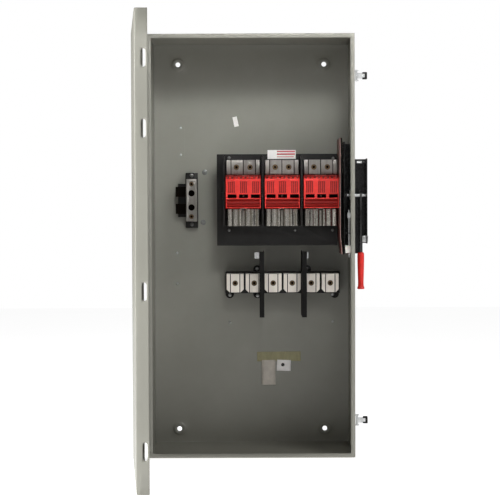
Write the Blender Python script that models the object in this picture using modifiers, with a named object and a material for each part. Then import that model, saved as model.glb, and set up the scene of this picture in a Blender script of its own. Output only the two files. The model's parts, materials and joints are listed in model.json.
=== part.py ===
"""Heavy-duty three-pole fusible disconnect switch in a wall-mounted sheet-steel box.

Frame: metres, +Z up, +X to the right, +Y into the wall.  The origin is the centre of
the box's back face.  The side-hinged door stands open, and the handle hangs down (OFF).
"""
import math

import bmesh
import bpy
from mathutils import Matrix, Vector

MM = 0.001
GAP = 0.3 * MM                    # seat clearance between two pieces that touch
RUN = 0.4 * MM                    # running clearance around a pin or shaft
PAST = 1 * MM                     # how far a cutter runs past its target, or a join sinks in
EDGE = 1.5 * MM                   # rounded edge of folded sheet and of mouldings

# Box
BOX_WIDTH = 610 * MM
BOX_HEIGHT = 1248 * MM
BOX_DEPTH = 332 * MM
SHEET = 2 * MM
RIM_LIP = 13 * MM
HOLE_INSET_SIDE = 77 * MM
HOLE_INSET_TOP = 63 * MM
HOLE_INSET_BOTTOM = 44 * MM
HOLE_RADIUS = 7.5 * MM
DIMPLE_RADIUS = 21 * MM
DIMPLE_HEIGHT = 3 * MM

# Door
DOOR_OPEN = math.radians(85)
DOOR_RIM_GAP = 3 * MM             # between the box rim and the inside of the door panel
DOOR_LATCH_GAP = 3 * MM
DOOR_HINGE_GAP = 6 * MM
DOOR_END_GAP = 4 * MM
DOOR_FLANGE = 34.5 * MM
SLOT_HEIGHT = 47.5 * MM
SLOT_WIDTH = 12.6 * MM
SLOT_SETBACK = 23 * MM            # from the door's outer face to the middle of a slot
SPARE_SLOT_HEIGHTS = (320 * MM, -102 * MM)

# Hinges
HINGE_INSET = 174 * MM            # from the box's top and bottom
BARREL_RADIUS = 5 * MM
HINGE_PIN_RADIUS = 2.5 * MM
HINGE_LENGTH = 75 * MM
LEAF = 2 * MM
LEAF_WIDTH = 24 * MM
LEAF_OFFSET = 1 * MM              # from the barrel's centre line to the leaf
BARREL_CLEARANCE = 0.5 * MM       # between a barrel and the door's flange
PIN_HEAD = 2 * MM
PIN_HEAD_RADIUS = 4 * MM

# Draw latches on the right wall
LATCH_INSET_TOP = 122 * MM
LATCH_INSET_BOTTOM = 107 * MM
LATCH_WIDTH = 32 * MM
LATCH_PIVOT_OUT = 7 * MM          # from the wall
LATCH_PIN_RADIUS = 1.6 * MM
LATCH_REACH = 15.5 * MM           # from the pivot to the hook
LATCH_ARM = 2 * MM
KNOB_LENGTH = 14 * MM
KNOB_HEIGHT = 21 * MM
KNOB_DEPTH = 14 * MM
KNOB_ROUNDING = 2 * MM
LATCH_EAR = 2.5 * MM              # thickness of a bracket's ear
LATCH_EAR_FRONT = 4.5 * MM        # ear edges, from the pivot
LATCH_EAR_BACK = 6 * MM
LATCH_FOOT = 22 * MM              # bracket's foot, back from the pivot
LATCH_BARREL_RADIUS = 3 * MM
LATCH_HOOK = 5.5 * MM             # the lever's hooked edge, from the pivot

# Poles
POLE_COUNT = 3
POLE_NAMES = ("left", "middle", "right")
POLE_PITCH = 117 * MM
POLE_SIDE_CLEARANCE = 1.5 * MM    # between the last arc shield and the side barrier

# Switch base
BASE_LEFT = 81 * MM               # from the first pole to the base's left edge
BASE_TOP = 277 * MM
BASE_BOTTOM = -2 * MM
BASE_SETBACK = 195 * MM           # from the box rim to the base's front
BASE_THICKNESS = 10 * MM
POLE_WALL = 6 * MM
POLE_WALL_DEPTH = 82 * MM
POLE_WALL_INSET = 7 * MM          # below the base's top edge
BRACKET_FLANGE = 25 * MM
BRACKET_SHEET = 2.5 * MM
BRACKET_INSET = 14 * MM

# Rotor: the crossbar and blades turn on the handle's axis
AXIS_HEIGHT = 150 * MM
AXIS_SETBACK = 150 * MM           # from the box rim
CROSSBAR_RADIUS = 10 * MM
BLADE_LENGTH = 84 * MM
BLADE_WIDTH = 17 * MM
BLADE_THICKNESS = 6 * MM
BLADE_ROUNDING = 1 * MM
BLADE_OFF_TILT = math.radians(50)

# Line side
LUG_TOP = 258 * MM
LUG_HEIGHT = 44 * MM
LUG_WIDTH = 102 * MM
LUG_DEPTH = 45 * MM
LUG_BORE_RADIUS = 12 * MM
LUG_BORE_PITCH = 41 * MM
LUG_BORE_SHIFT = 3 * MM           # from the middle of the lug's depth, to the back
SET_SCREW_RADIUS = 8.5 * MM
LUG_GROOVE_WIDTH = 2.6 * MM
LUG_GROOVE_DEPTH = 6 * MM
LUG_FLANGE_GROOVE = 37 * MM       # from the middle of a line lug
JAW_LEAF = 3 * MM
JAW_STRAP = 40 * MM
JAW_HEIGHT = 30 * MM
JAW_TOP = 208 * MM

# Arc shields
SHIELD_WIDTH = 104 * MM
SHIELD_TOP = 211 * MM
SHIELD_BOTTOM = 112 * MM
SHIELD_SETBACK = 98 * MM
SHIELD_WALL = 3 * MM
WINDOW_HEIGHT = 12 * MM
WINDOW_MIDDLE = 149 * MM
WINDOW_POST = 6 * MM
SHIELD_CLEARANCE = 2 * MM         # around the crossbar and the jaw
JAW_RELIEF = 5 * MM

# Fuse clips
CLIP_TOP = 109 * MM
CLIP_BOTTOM = 58 * MM
CLIP_HALF_WIDTH = 50 * MM
CLIP_DEPTH = 44 * MM
CLIP_SHEET = 2.5 * MM
FUSE_SLOT = 7 * MM
CLIP_BEND = 12 * MM
CONTACT_HALF = 12 * MM            # half width of the strap up to the load-side contact
CONTACT_DROP = 4 * MM             # from the crossbar down to the contact

# Load side
LOAD_OFFSET = 2.5 * MM
LOAD_LUG_SPREAD = 58.6 * MM
LOAD_LUG_WIDTH = 52 * MM
LOAD_LUG_HEIGHT = 57 * MM
LOAD_LUG_DEPTH = 45 * MM
LOAD_LUG_MIDDLE = -118.5 * MM
LOAD_LUG_CHAMFER = 9 * MM
LOAD_LUG_GROOVE = 14.5 * MM       # from the middle of a load lug
LOAD_BASE_DEPTH = 60 * MM
LOAD_BASE_MARGIN = 5 * MM
FOOT_RADIUS = 13 * MM
FOOT_THICKNESS = 10 * MM
FOOT_REACH = 5 * MM               # from the block's edge to a foot's middle
FOOT_INSET = 10 * MM              # inner feet, from a lug's middle
BARRIER_TOP = -19 * MM
BARRIER_BOTTOM = -218 * MM
BARRIER_SHEET = 2.5 * MM
BARRIER_LIP = 14 * MM
BARRIER_SETBACK = 128 * MM

# Mechanism on the right wall
SIDE_BARRIER_SHEET = 3 * MM
SIDE_BARRIER_TOP = 320 * MM
SIDE_BARRIER_BOTTOM = -26 * MM
SIDE_BARRIER_SETBACK = 60 * MM
SIDE_BARRIER_LIP = 12 * MM
SIDE_BARRIER_STANDOFF = 8 * MM    # from the mechanism frame
FRAME_SHEET = 2.5 * MM
FRAME_WIDTH = 28 * MM
FRAME_TOP = 308 * MM
FRAME_BOTTOM = -24 * MM
FRAME_SETBACK = 40 * MM
FRAME_DEPTH = 190 * MM
SHAFT_RADIUS = 5 * MM
CRANK_LENGTH = 46 * MM
CRANK_THICKNESS = 5 * MM
CRANK_OFFSET = 3 * MM             # from the shaft's inner end
CRANK_BOSS_RADIUS = 12 * MM
CRANK_TIP_RADIUS = 7 * MM
CRANK_LINK_RADIUS = 3 * MM
SHAFT_STANDOFF = 3.5 * MM         # between the frame's left cheek and the shaft
BUSHING_RADIUS = 9 * MM
BUSHING_FLANGE_RADIUS = 14 * MM
BUSHING_FLANGE = 3 * MM
BUSHING_SETBACK = 0.5 * MM        # from the wall's outside
HOOK_TOP = 106 * MM
HOOK_BOTTOM = 82 * MM
HOOK_SETBACK = 20 * MM
HOOK_TIP_OFFSET = 1 * MM          # from the rod, to the left
HOOK_SHOULDER = 8 * MM            # from the tip down to the hook's block
HOOK_HALF = (5 * MM, 3 * MM)      # half width and half depth of the hook's block
HOOK_TIP = 3 * MM
ROD_RADIUS = 2.5 * MM
ROD_END = -34 * MM
SPRING_RADIUS = 5 * MM
SPRING_WIRE = 1.2 * MM
SPRING_TURNS = 7
SPRING_BOTTOM = 39 * MM
GUIDE_TOP = 1 * MM
GUIDE_HEIGHT = 22 * MM
GUIDE_REACH = 8 * MM              # past the hook's rod, across and to the front
GUIDE_SEAT = 20 * MM              # how far brackets reach into the frame
CATCH_WIDTH = 7.5 * MM
CATCH_RISE = 4 * MM               # above the hook's tip at rest
CATCH_DEPTH = 8 * MM              # behind the hook's middle
CATCH_FOOT = 20 * MM
CATCH_WINDOW = 5 * MM             # half depth
CATCH_PLAY = 0.8 * MM             # beside the hook's tip

# Handle, outside the right wall
HOUSING_TOP = 260 * MM
HOUSING_BOTTOM = -27 * MM
HOUSING_WIDTH = 44 * MM
HOUSING_DEPTH = 78 * MM
HOUSING_SHEET = 3 * MM
HOUSING_TAIL = 32 * MM            # lower stretch without an outer cheek
HOUSING_TAIL_WIDTH = 34 * MM
SPACER_RADIUS = 4 * MM
SPACER_INSET = 6 * MM
ARM_OUT = 26 * MM                 # from the wall to the middle of the arm
ARM_THICKNESS = 5 * MM
ARM_BOSS_RADIUS = 16 * MM
ARM_WIDTH = 22 * MM
ARM_NECK = 50 * MM                # from the pivot to the full width
ARM_SHOULDER = 12 * MM            # taper above the grip
TANG_WIDTH = 11 * MM
TANG_LENGTH = 78 * MM
GRIP_TOP = -22 * MM
GRIP_LENGTH = 112 * MM
GRIP_RADIUS = 10.5 * MM
GRIP_WAIST = 1 * MM
GRIP_ROUNDING = 2 * MM
TAB_HEIGHT = 19 * MM
TAB_BOTTOM = 9 * MM
TAB_THICKNESS = 3 * MM
TAB_LENGTH = 18 * MM
TAB_PROUD = 3 * MM                # outside the housing
TAB_ROUNDING = 0.8 * MM
TAB_SETBACK = 128 * MM

# Ground block on the back wall
GROUND_INSET = 117 * MM           # from the left wall's inside
GROUND_MIDDLE = 137 * MM
GROUND_BAR_WIDTH = 34 * MM
GROUND_BAR_HEIGHT = 132 * MM
GROUND_BAR_DEPTH = 30 * MM
GROUND_BASE_DEPTH = 20 * MM
GROUND_BASE_HEIGHT = 172 * MM
GROUND_BORE_RADIUS = 10 * MM
GROUND_BORE_DEPTH = 24 * MM
GROUND_BORE_SPACING = 44 * MM
GROUND_SCREW_SPACING = 101 * MM
GROUND_SCREW_DEPTH = 8 * MM
GROUND_SCREW_RADIUS = 7.5 * MM
GROUND_BASE_MARGIN = 2 * MM
GROUND_LOBE_MARGIN = 10 * MM      # above and below the side lugs
GROUND_LOBE_STEP = (6 * MM, 4 * MM)   # in from the side lugs, and down from the base's front
SIDE_LUG_STEP = 5 * MM            # behind the bar's front
SIDE_LUG_WIDTH = 32 * MM
SIDE_LUG_HEIGHT = 31 * MM
SIDE_LUG_SPACING = 53 * MM

# Label card
LABEL_WIDTH = 86 * MM
LABEL_HEIGHT = 27 * MM
LABEL_SHEET = 1.5 * MM
LABEL_BOTTOM = 262 * MM

# Planes that several pieces share
WALL_OUT = BOX_WIDTH / 2
WALL_IN = WALL_OUT - SHEET
RIM_Y = -BOX_DEPTH
BACK_Y = -SHEET
BASE_FRONT = RIM_Y + BASE_SETBACK
BASE_BACK = BASE_FRONT + BASE_THICKNESS
AXIS_Y = RIM_Y + AXIS_SETBACK
DOOR_FACE_Y = RIM_Y - DOOR_RIM_GAP - SHEET
DOOR_EDGE_Y = DOOR_FACE_Y + DOOR_FLANGE
DOOR_LEFT = -WALL_OUT - DOOR_HINGE_GAP - SHEET
DOOR_RIGHT = WALL_OUT + DOOR_LATCH_GAP + SHEET
DOOR_END = BOX_HEIGHT / 2 + DOOR_END_GAP + SHEET
HINGE_X = DOOR_LEFT
HINGE_Y = DOOR_EDGE_Y + BARREL_RADIUS + BARREL_CLEARANCE
SLOT_Y = DOOR_FACE_Y + SLOT_SETBACK
LATCH_X = WALL_OUT + LATCH_PIVOT_OUT
LATCH_Y = DOOR_EDGE_Y + LATCH_EAR_BACK
LATCH_HEIGHTS = {"upper": BOX_HEIGHT / 2 - LATCH_INSET_TOP,
                 "lower": LATCH_INSET_BOTTOM - BOX_HEIGHT / 2}
HINGE_HEIGHTS = {"upper": BOX_HEIGHT / 2 - HINGE_INSET,
                 "lower": HINGE_INSET - BOX_HEIGHT / 2}
FRAME_LEFT = WALL_IN - GAP - FRAME_WIDTH
SIDE_BARRIER_RIGHT = FRAME_LEFT - SIDE_BARRIER_STANDOFF
SIDE_BARRIER_LEFT = SIDE_BARRIER_RIGHT - SIDE_BARRIER_SHEET
LAST_POLE = SIDE_BARRIER_LEFT - POLE_SIDE_CLEARANCE - SHIELD_WIDTH / 2
POLES = [LAST_POLE - (POLE_COUNT - 1 - index) * POLE_PITCH for index in range(POLE_COUNT)]
BASE_LEFT_X = POLES[0] - BASE_LEFT
BASE_RIGHT_X = SIDE_BARRIER_LEFT - GAP
ARM_X = WALL_OUT + ARM_OUT
HOOK_X = FRAME_LEFT + FRAME_WIDTH / 2
HOOK_Y = RIM_Y + HOOK_SETBACK
CRANK_X = FRAME_LEFT + FRAME_SHEET + SHAFT_STANDOFF
LOAD_FRONT = BACK_Y - GAP - LOAD_BASE_DEPTH
GROUND_X = GROUND_INSET - WALL_IN
GUIDE_LEFT = FRAME_LEFT + FRAME_SHEET + GAP
GUIDE_FRONT = HOOK_Y - GUIDE_REACH
GUIDE_BACK = RIM_Y + FRAME_SETBACK + GUIDE_SEAT


# ---------------------------------------------------------------- scene and materials

def clear_scene():
    for thing in list(bpy.data.objects):
        bpy.data.objects.remove(thing, do_unlink=True)


def new_collection(name):
    collection = bpy.data.collections.new(name)
    bpy.context.scene.collection.children.link(collection)
    return collection


def make_material(name, color, roughness, metallic=0.0):
    material = bpy.data.materials.new(name)
    material.use_nodes = True
    shader = material.node_tree.nodes["Principled BSDF"]
    shader.inputs["Base Color"].default_value = (*color, 1.0)
    shader.inputs["Roughness"].default_value = roughness
    shader.inputs["Metallic"].default_value = metallic
    material.diffuse_color = (*color, 1.0)
    return material


clear_scene()
PARTS = new_collection("disconnect_switch")
CUTTERS = new_collection("cutters")
GREY_PAINT = make_material("grey_paint", (0.20, 0.21, 0.18), 0.45)
BLACK_MOULDING = make_material("black_moulding", (0.012, 0.012, 0.012), 0.4)
BLACK_STEEL = make_material("black_steel", (0.015, 0.015, 0.015), 0.35)
RED_PLASTIC = make_material("red_plastic", (0.70, 0.02, 0.015), 0.35)
RED_FIBRE = make_material("red_fibre", (0.38, 0.12, 0.10), 0.7)
ALUMINIUM = make_material("aluminium", (0.55, 0.53, 0.49), 0.4, 1.0)
PLATED_COPPER = make_material("plated_copper", (0.60, 0.58, 0.54), 0.25, 1.0)
ZINC_STEEL = make_material("zinc_steel", (0.62, 0.62, 0.60), 0.3, 1.0)
NYLON = make_material("nylon", (0.75, 0.74, 0.70), 0.5)
CARD = make_material("label_card", (0.85, 0.83, 0.80), 0.6)


# ---------------------------------------------------------------- shape helpers

def place(name, mesh, location, material):
    """Put a mesh in the scene: a part when it has a material, else a cutter."""
    thing = bpy.data.objects.new(name, mesh)
    thing.location = location
    if material is None:
        CUTTERS.objects.link(thing)
        thing.hide_render = True
        thing.display_type = "WIRE"
    else:
        PARTS.objects.link(thing)
        mesh.materials.append(material)
    return thing


def box(name, low, high, material=None, bevel=0.0, segments=2):
    """A block between two opposite corners."""
    low, high = Vector(low), Vector(high)
    shape = bmesh.new()
    bmesh.ops.create_cube(shape, size=1.0)
    bmesh.ops.scale(shape, vec=high - low, verts=shape.verts)
    mesh = bpy.data.meshes.new(name)
    shape.to_mesh(mesh)
    shape.free()
    thing = place(name, mesh, (low + high) / 2, material)
    if bevel:
        edges = thing.modifiers.new("rounded_edges", "BEVEL")
        edges.width = bevel
        edges.segments = segments
    return thing


def rod(name, start, end, radius, material=None, sides=24):
    """A round bar from one point to another."""
    start, end = Vector(start), Vector(end)
    shape = bmesh.new()
    bmesh.ops.create_cone(
        shape, cap_ends=True, segments=sides, radius1=radius, radius2=radius,
        depth=(end - start).length)
    mesh = bpy.data.meshes.new(name)
    shape.to_mesh(mesh)
    shape.free()
    thing = place(name, mesh, (start + end) / 2, material)
    thing.rotation_euler = (end - start).to_track_quat("Z", "Y").to_euler()
    mesh.shade_smooth()
    mesh.set_sharp_from_angle(angle=math.radians(40))
    return thing


PLATE_TURNS = {
    "X": Matrix(((0, 0, 1), (1, 0, 0), (0, 1, 0))),
    "Y": Matrix(((1, 0, 0), (0, 0, -1), (0, 1, 0))),
    "Z": Matrix.Identity(3),
}


def plate(name, outline, axis, low, high, material=None):
    """A flat outline with thickness from low to high along an axis.

    The outline holds (y, z) points for axis X, (x, z) for Y and (x, y) for Z.
    """
    curve = bpy.data.curves.new(name, "CURVE")
    curve.dimensions = "2D"
    curve.fill_mode = "BOTH"
    curve.extrude = (high - low) / 2
    spline = curve.splines.new("POLY")
    spline.points.add(len(outline) - 1)
    for point, (across, up) in zip(spline.points, outline):
        point.co = (across, up, 0, 1)
    spline.use_cyclic_u = True
    guide = bpy.data.objects.new(name + "_outline", curve)
    bpy.context.scene.collection.objects.link(guide)
    mesh = bpy.data.meshes.new_from_object(
        guide.evaluated_get(bpy.context.evaluated_depsgraph_get()))
    bpy.data.objects.remove(guide)
    bpy.data.curves.remove(curve)
    shape = bmesh.new()
    shape.from_mesh(mesh)
    bmesh.ops.remove_doubles(shape, verts=shape.verts, dist=1e-6)
    bmesh.ops.recalc_face_normals(shape, faces=shape.faces)
    shape.to_mesh(mesh)
    shape.free()
    middle = (low + high) / 2
    offset = {"X": (middle, 0, 0), "Y": (0, middle, 0), "Z": (0, 0, middle)}[axis]
    thing = place(name, mesh, offset, material)
    thing.rotation_euler = PLATE_TURNS[axis].to_euler()
    return thing


def turned(name, profile, centre, material=None, steps=24):
    """A profile of (radius, height) points turned about a vertical line."""
    mesh = bpy.data.meshes.new(name)
    points = [(radius, 0, height) for radius, height in profile]
    edges = [(index, index + 1) for index in range(len(points) - 1)]
    mesh.from_pydata(points, edges, [])
    thing = place(name, mesh, centre, material)
    screw = thing.modifiers.new("turn", "SCREW")
    screw.steps = steps
    screw.render_steps = steps
    screw.use_merge_vertices = True
    screw.merge_threshold = 1e-5
    screw.use_smooth_shade = True
    return thing


def arc(centre, radius, start, end, steps):
    """Points along an arc, angles in degrees, anticlockwise from the first axis."""
    points = []
    for index in range(steps + 1):
        angle = math.radians(start + (end - start) * index / steps)
        points.append((centre[0] + radius * math.cos(angle),
                       centre[1] + radius * math.sin(angle)))
    return points


def cut(target, *cutters):
    for cutter in cutters:
        tool = target.modifiers.new("cut_" + cutter.name, "BOOLEAN")
        tool.operation = "DIFFERENCE"
        tool.object = cutter


def fuse(target, *pieces):
    for piece in pieces:
        tool = target.modifiers.new("join_" + piece.name, "BOOLEAN")
        tool.operation = "UNION"
        tool.object = piece


def pivot(name, location):
    empty = bpy.data.objects.new(name, None)
    empty.location = location
    empty.empty_display_size = 0.03
    PARTS.objects.link(empty)
    return empty


def hang(axis, *pieces):
    """Parent pieces, and the cutters that shape them, to a pivot's empty."""
    for piece in pieces:
        tools = [tool.object for tool in piece.modifiers if tool.type == "BOOLEAN"]
        for thing in [piece] + tools:
            thing.parent = axis
            thing.matrix_parent_inverse = Matrix.Translation(-axis.location)


# ---------------------------------------------------------------- box and door

def mounting_points():
    for side in (-1, 1):
        x = side * (BOX_WIDTH / 2 - HOLE_INSET_SIDE)
        yield x, BOX_HEIGHT / 2 - HOLE_INSET_TOP
        yield x, HOLE_INSET_BOTTOM - BOX_HEIGHT / 2


def build_enclosure():
    """Open-fronted box with an inward rim lip and four dimpled mounting holes."""
    half_w, half_h = BOX_WIDTH / 2, BOX_HEIGHT / 2
    shell = box("enclosure_box", (-half_w, RIM_Y, -half_h), (half_w, 0, half_h),
                GREY_PAINT, bevel=EDGE)
    inner_w, inner_h = half_w - SHEET, half_h - SHEET
    cut(shell, box("box_inside", (-inner_w, RIM_Y + SHEET, -inner_h),
                   (inner_w, BACK_Y, inner_h)))
    mouth_w, mouth_h = half_w - RIM_LIP, half_h - RIM_LIP
    cut(shell, box("box_mouth", (-mouth_w, RIM_Y - SHEET, -mouth_h),
                   (mouth_w, RIM_Y + 3 * SHEET, mouth_h)))
    for index, (x, z) in enumerate(mounting_points()):
        fuse(shell, rod(f"dimple_{index}", (x, BACK_Y - DIMPLE_HEIGHT, z),
                        (x, -SHEET / 2, z), DIMPLE_RADIUS))
        cut(shell, rod(f"dimple_recess_{index}", (x, -DIMPLE_HEIGHT, z), (x, SHEET, z),
                       DIMPLE_RADIUS - SHEET))
        cut(shell, rod(f"mounting_hole_{index}", (x, BACK_Y - 2 * DIMPLE_HEIGHT, z),
                       (x, SHEET, z), HOLE_RADIUS, sides=20))
    cut(shell, rod("shaft_hole", (WALL_IN - SHEET, AXIS_Y, AXIS_HEIGHT),
                   (WALL_OUT + SHEET, AXIS_Y, AXIS_HEIGHT), BUSHING_RADIUS + GAP))
    return shell


def slot_cutter(name, height):
    """A round-ended upright slot through the door's latch-side flange."""
    radius = SLOT_WIDTH / 2
    straight = SLOT_HEIGHT / 2 - radius
    outline = (arc((SLOT_Y, height + straight), radius, 0, 180, 8)
               + arc((SLOT_Y, height - straight), radius, 180, 360, 8))
    return plate(name, outline, "X", DOOR_RIGHT - 2 * SHEET, DOOR_RIGHT + SHEET)


def build_door(door_axis):
    """Pan-shaped door whose four flanges wrap around the outside of the box."""
    door = box("door", (DOOR_LEFT, DOOR_FACE_Y, -DOOR_END),
               (DOOR_RIGHT, DOOR_EDGE_Y, DOOR_END), GREY_PAINT, bevel=EDGE)
    cut(door, box("door_inside",
                  (DOOR_LEFT + SHEET, DOOR_FACE_Y + SHEET, -DOOR_END + SHEET),
                  (DOOR_RIGHT - SHEET, DOOR_EDGE_Y + SHEET, DOOR_END - SHEET)))
    heights = list(LATCH_HEIGHTS.values()) + list(SPARE_SLOT_HEIGHTS)
    for index, height in enumerate(heights):
        cut(door, slot_cutter(f"flange_slot_{index}", height))
    hang(door_axis, door)
    return door


def build_catch(door_axis):
    """Steel strap on the door that the interlock hook rises through when ON."""
    right = HOOK_X - HOOK_TIP_OFFSET + CATCH_WIDTH / 2
    left = right - CATCH_WIDTH
    front = DOOR_FACE_Y + SHEET + GAP
    low = HOOK_TOP + CATCH_RISE
    catch = box("door_interlock_catch", (left, front, low),
                (right, HOOK_Y + CATCH_DEPTH, low + LEAF), ZINC_STEEL)
    fuse(catch, box("catch_foot", (left, front, low), (right, front + LEAF, low + CATCH_FOOT)))
    half = HOOK_TIP / 2 + CATCH_PLAY
    middle = (left + right) / 2
    cut(catch, box("catch_window", (middle - half, HOOK_Y - CATCH_WINDOW, low - LEAF),
                   (middle + half, HOOK_Y + CATCH_WINDOW, low + 2 * LEAF)))
    hang(door_axis, catch)


def build_hinge(side, height, door_axis):
    """Lift-off style hinge: fixed leaf with two barrels, door leaf with one, and a pin."""
    low = height - HINGE_LENGTH / 2
    third = HINGE_LENGTH / 3
    wall = -WALL_OUT - GAP
    box_leaf = box(f"{side}_hinge_box_leaf", (wall - LEAF, HINGE_Y + LEAF_OFFSET, low),
                   (wall, HINGE_Y + LEAF_WIDTH, low + HINGE_LENGTH), ZINC_STEEL)
    for index in (0, 2):
        start = low + index * third
        fuse(box_leaf,
             box(f"{side}_box_knuckle_web_{index}", (HINGE_X - PAST, HINGE_Y + LEAF_OFFSET, start),
                 (wall - LEAF / 2, HINGE_Y + BARREL_RADIUS, start + third - GAP)),
             rod(f"{side}_box_knuckle_{index}", (HINGE_X, HINGE_Y, start),
                 (HINGE_X, HINGE_Y, start + third - GAP), BARREL_RADIUS))
    bore_ends = ((HINGE_X, HINGE_Y, low - LEAF), (HINGE_X, HINGE_Y, low + HINGE_LENGTH + LEAF))
    cut(box_leaf, rod(f"{side}_box_leaf_bore", *bore_ends, HINGE_PIN_RADIUS + RUN))

    leaf_out = DOOR_LEFT - GAP
    door_leaf = box(f"{side}_hinge_door_leaf",
                    (leaf_out - LEAF, DOOR_EDGE_Y - LEAF_WIDTH, low),
                    (leaf_out, DOOR_EDGE_Y - LEAF_OFFSET, low + HINGE_LENGTH), ZINC_STEEL)
    middle = (low + third, low + 2 * third - GAP)
    fuse(door_leaf,
         box(f"{side}_door_leaf_tongue", (leaf_out - LEAF, DOOR_EDGE_Y - LEAF_WIDTH / 2, middle[0]),
             (leaf_out, HINGE_Y - LEAF_OFFSET, middle[1])),
         rod(f"{side}_door_knuckle", (HINGE_X, HINGE_Y, middle[0]),
             (HINGE_X, HINGE_Y, middle[1]), BARREL_RADIUS))
    cut(door_leaf, rod(f"{side}_door_leaf_bore", *bore_ends, HINGE_PIN_RADIUS + RUN))
    hang(door_axis, door_leaf)

    top = low + HINGE_LENGTH + GAP
    pin = rod(f"{side}_hinge_pin", (HINGE_X, HINGE_Y, low - PAST),
              (HINGE_X, HINGE_Y, top + PAST), HINGE_PIN_RADIUS, ZINC_STEEL)
    fuse(pin, rod(f"{side}_hinge_pin_head", (HINGE_X, HINGE_Y, top),
                  (HINGE_X, HINGE_Y, top + PIN_HEAD), PIN_HEAD_RADIUS))


def build_latch(side, height):
    """Draw latch: a bracket with a riveted pin, a hooked lever and a moulded knob."""
    half = LATCH_WIDTH / 2
    wall = WALL_OUT + GAP
    ear_end = LATCH_X + LATCH_EAR_BACK
    bracket = box(f"{side}_latch_bracket", (wall, LATCH_Y - LATCH_EAR_FRONT, height - half),
                  (wall + LEAF, LATCH_Y + LATCH_FOOT, height + half), ZINC_STEEL)
    for name, low in (("low", height - half), ("high", height + half - LATCH_EAR)):
        fuse(bracket, box(f"{side}_latch_ear_{name}", (wall, LATCH_Y - LATCH_EAR_FRONT, low),
                          (ear_end, LATCH_Y + LATCH_EAR_BACK, low + LATCH_EAR)))
    fuse(bracket, rod(f"{side}_latch_pin", (LATCH_X, LATCH_Y, height - half - LATCH_EAR / 2),
                      (LATCH_X, LATCH_Y, height + half + LATCH_EAR / 2), LATCH_PIN_RADIUS, sides=16))

    latch_axis = pivot(f"{side}_latch_axis", (LATCH_X, LATCH_Y, height))
    inner = half - LATCH_EAR - GAP
    arm_half = LATCH_ARM / 2
    knob_left = LATCH_X + LATCH_REACH + LATCH_ARM
    lever = rod(f"{side}_latch_lever", (LATCH_X, LATCH_Y, height - inner),
                (LATCH_X, LATCH_Y, height + inner), LATCH_BARREL_RADIUS, ZINC_STEEL)
    tang_end = knob_left + KNOB_LENGTH / 2
    fuse(lever,
         box(f"{side}_lever_arm", (LATCH_X, LATCH_Y - arm_half, height - half / 2),
             (knob_left - GAP, LATCH_Y + arm_half, height + half / 2)),
         box(f"{side}_lever_tang", (LATCH_X + LATCH_BARREL_RADIUS, LATCH_Y - arm_half, height - half / 3),
             (tang_end, LATCH_Y + arm_half, height + half / 3)),
         box(f"{side}_lever_hook",
             (LATCH_X + LATCH_REACH - arm_half, LATCH_Y - LATCH_HOOK, height - half / 2),
             (LATCH_X + LATCH_REACH + arm_half, LATCH_Y, height + half / 2)))
    cut(lever, rod(f"{side}_lever_bore", (LATCH_X, LATCH_Y, height - half),
                   (LATCH_X, LATCH_Y, height + half), LATCH_PIN_RADIUS + RUN, sides=16))

    knob = box(f"{side}_latch_knob", (knob_left, LATCH_Y - arm_half, height - KNOB_HEIGHT / 2),
               (knob_left + KNOB_LENGTH, LATCH_Y - arm_half + KNOB_DEPTH, height + KNOB_HEIGHT / 2),
               BLACK_MOULDING, bevel=KNOB_ROUNDING, segments=3)
    cut(knob, box(f"{side}_knob_slot",
                  (knob_left - PAST, LATCH_Y - 2 * arm_half, height - half / 3 - GAP),
                  (tang_end + GAP, LATCH_Y + arm_half + GAP, height + half / 3 + GAP)))
    hang(latch_axis, lever, knob)


# ---------------------------------------------------------------- switch base and poles

def build_switch_base():
    """Moulded base plate with upright walls that part the poles and carry the crossbar."""
    base = box("switch_base", (BASE_LEFT_X, BASE_FRONT, BASE_BOTTOM),
               (BASE_RIGHT_X, BASE_BACK, BASE_TOP), BLACK_MOULDING)
    walls = [POLES[0] - POLE_PITCH / 2]
    walls += [pole + POLE_PITCH / 2 for pole in POLES[:-1]]
    for index, x in enumerate(walls):
        fuse(base, box(f"pole_wall_{index}",
                       (x - POLE_WALL / 2, BASE_FRONT - POLE_WALL_DEPTH, CLIP_BOTTOM),
                       (x + POLE_WALL / 2, BASE_FRONT + BASE_THICKNESS / 2, BASE_TOP - POLE_WALL_INSET)))
    cut(base, rod("crossbar_bearings", (BASE_LEFT_X, AXIS_Y, AXIS_HEIGHT),
                  (BASE_RIGHT_X, AXIS_Y, AXIS_HEIGHT), CROSSBAR_RADIUS + RUN))


def build_base_bracket(side, height, turn):
    """Channel that holds the switch base off the back wall; turn is the flange side."""
    front, back = BASE_BACK + GAP, BACK_Y - GAP
    left, right = BASE_LEFT_X + BRACKET_INSET, BASE_RIGHT_X - BRACKET_INSET
    web_low, web_high = sorted((height, height - turn * BRACKET_SHEET))
    flange_low, flange_high = sorted((height, height - turn * BRACKET_FLANGE))
    channel = box(f"{side}_base_bracket", (left, front, web_low), (right, back, web_high),
                  BLACK_STEEL)
    fuse(channel,
         box(f"{side}_bracket_front_flange", (left, front, flange_low),
             (right, front + BRACKET_SHEET, flange_high)),
         box(f"{side}_bracket_back_flange", (left, back - BRACKET_SHEET, flange_low),
             (right, back, flange_high)))


def groove(name, x, front, low, high):
    """Upright groove in the front of a lug, between its wire barrel and its flange."""
    half = LUG_GROOVE_WIDTH / 2
    return box(name, (x - half, front - PAST, low - PAST),
               (x + half, front + LUG_GROOVE_DEPTH, high + PAST))


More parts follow.
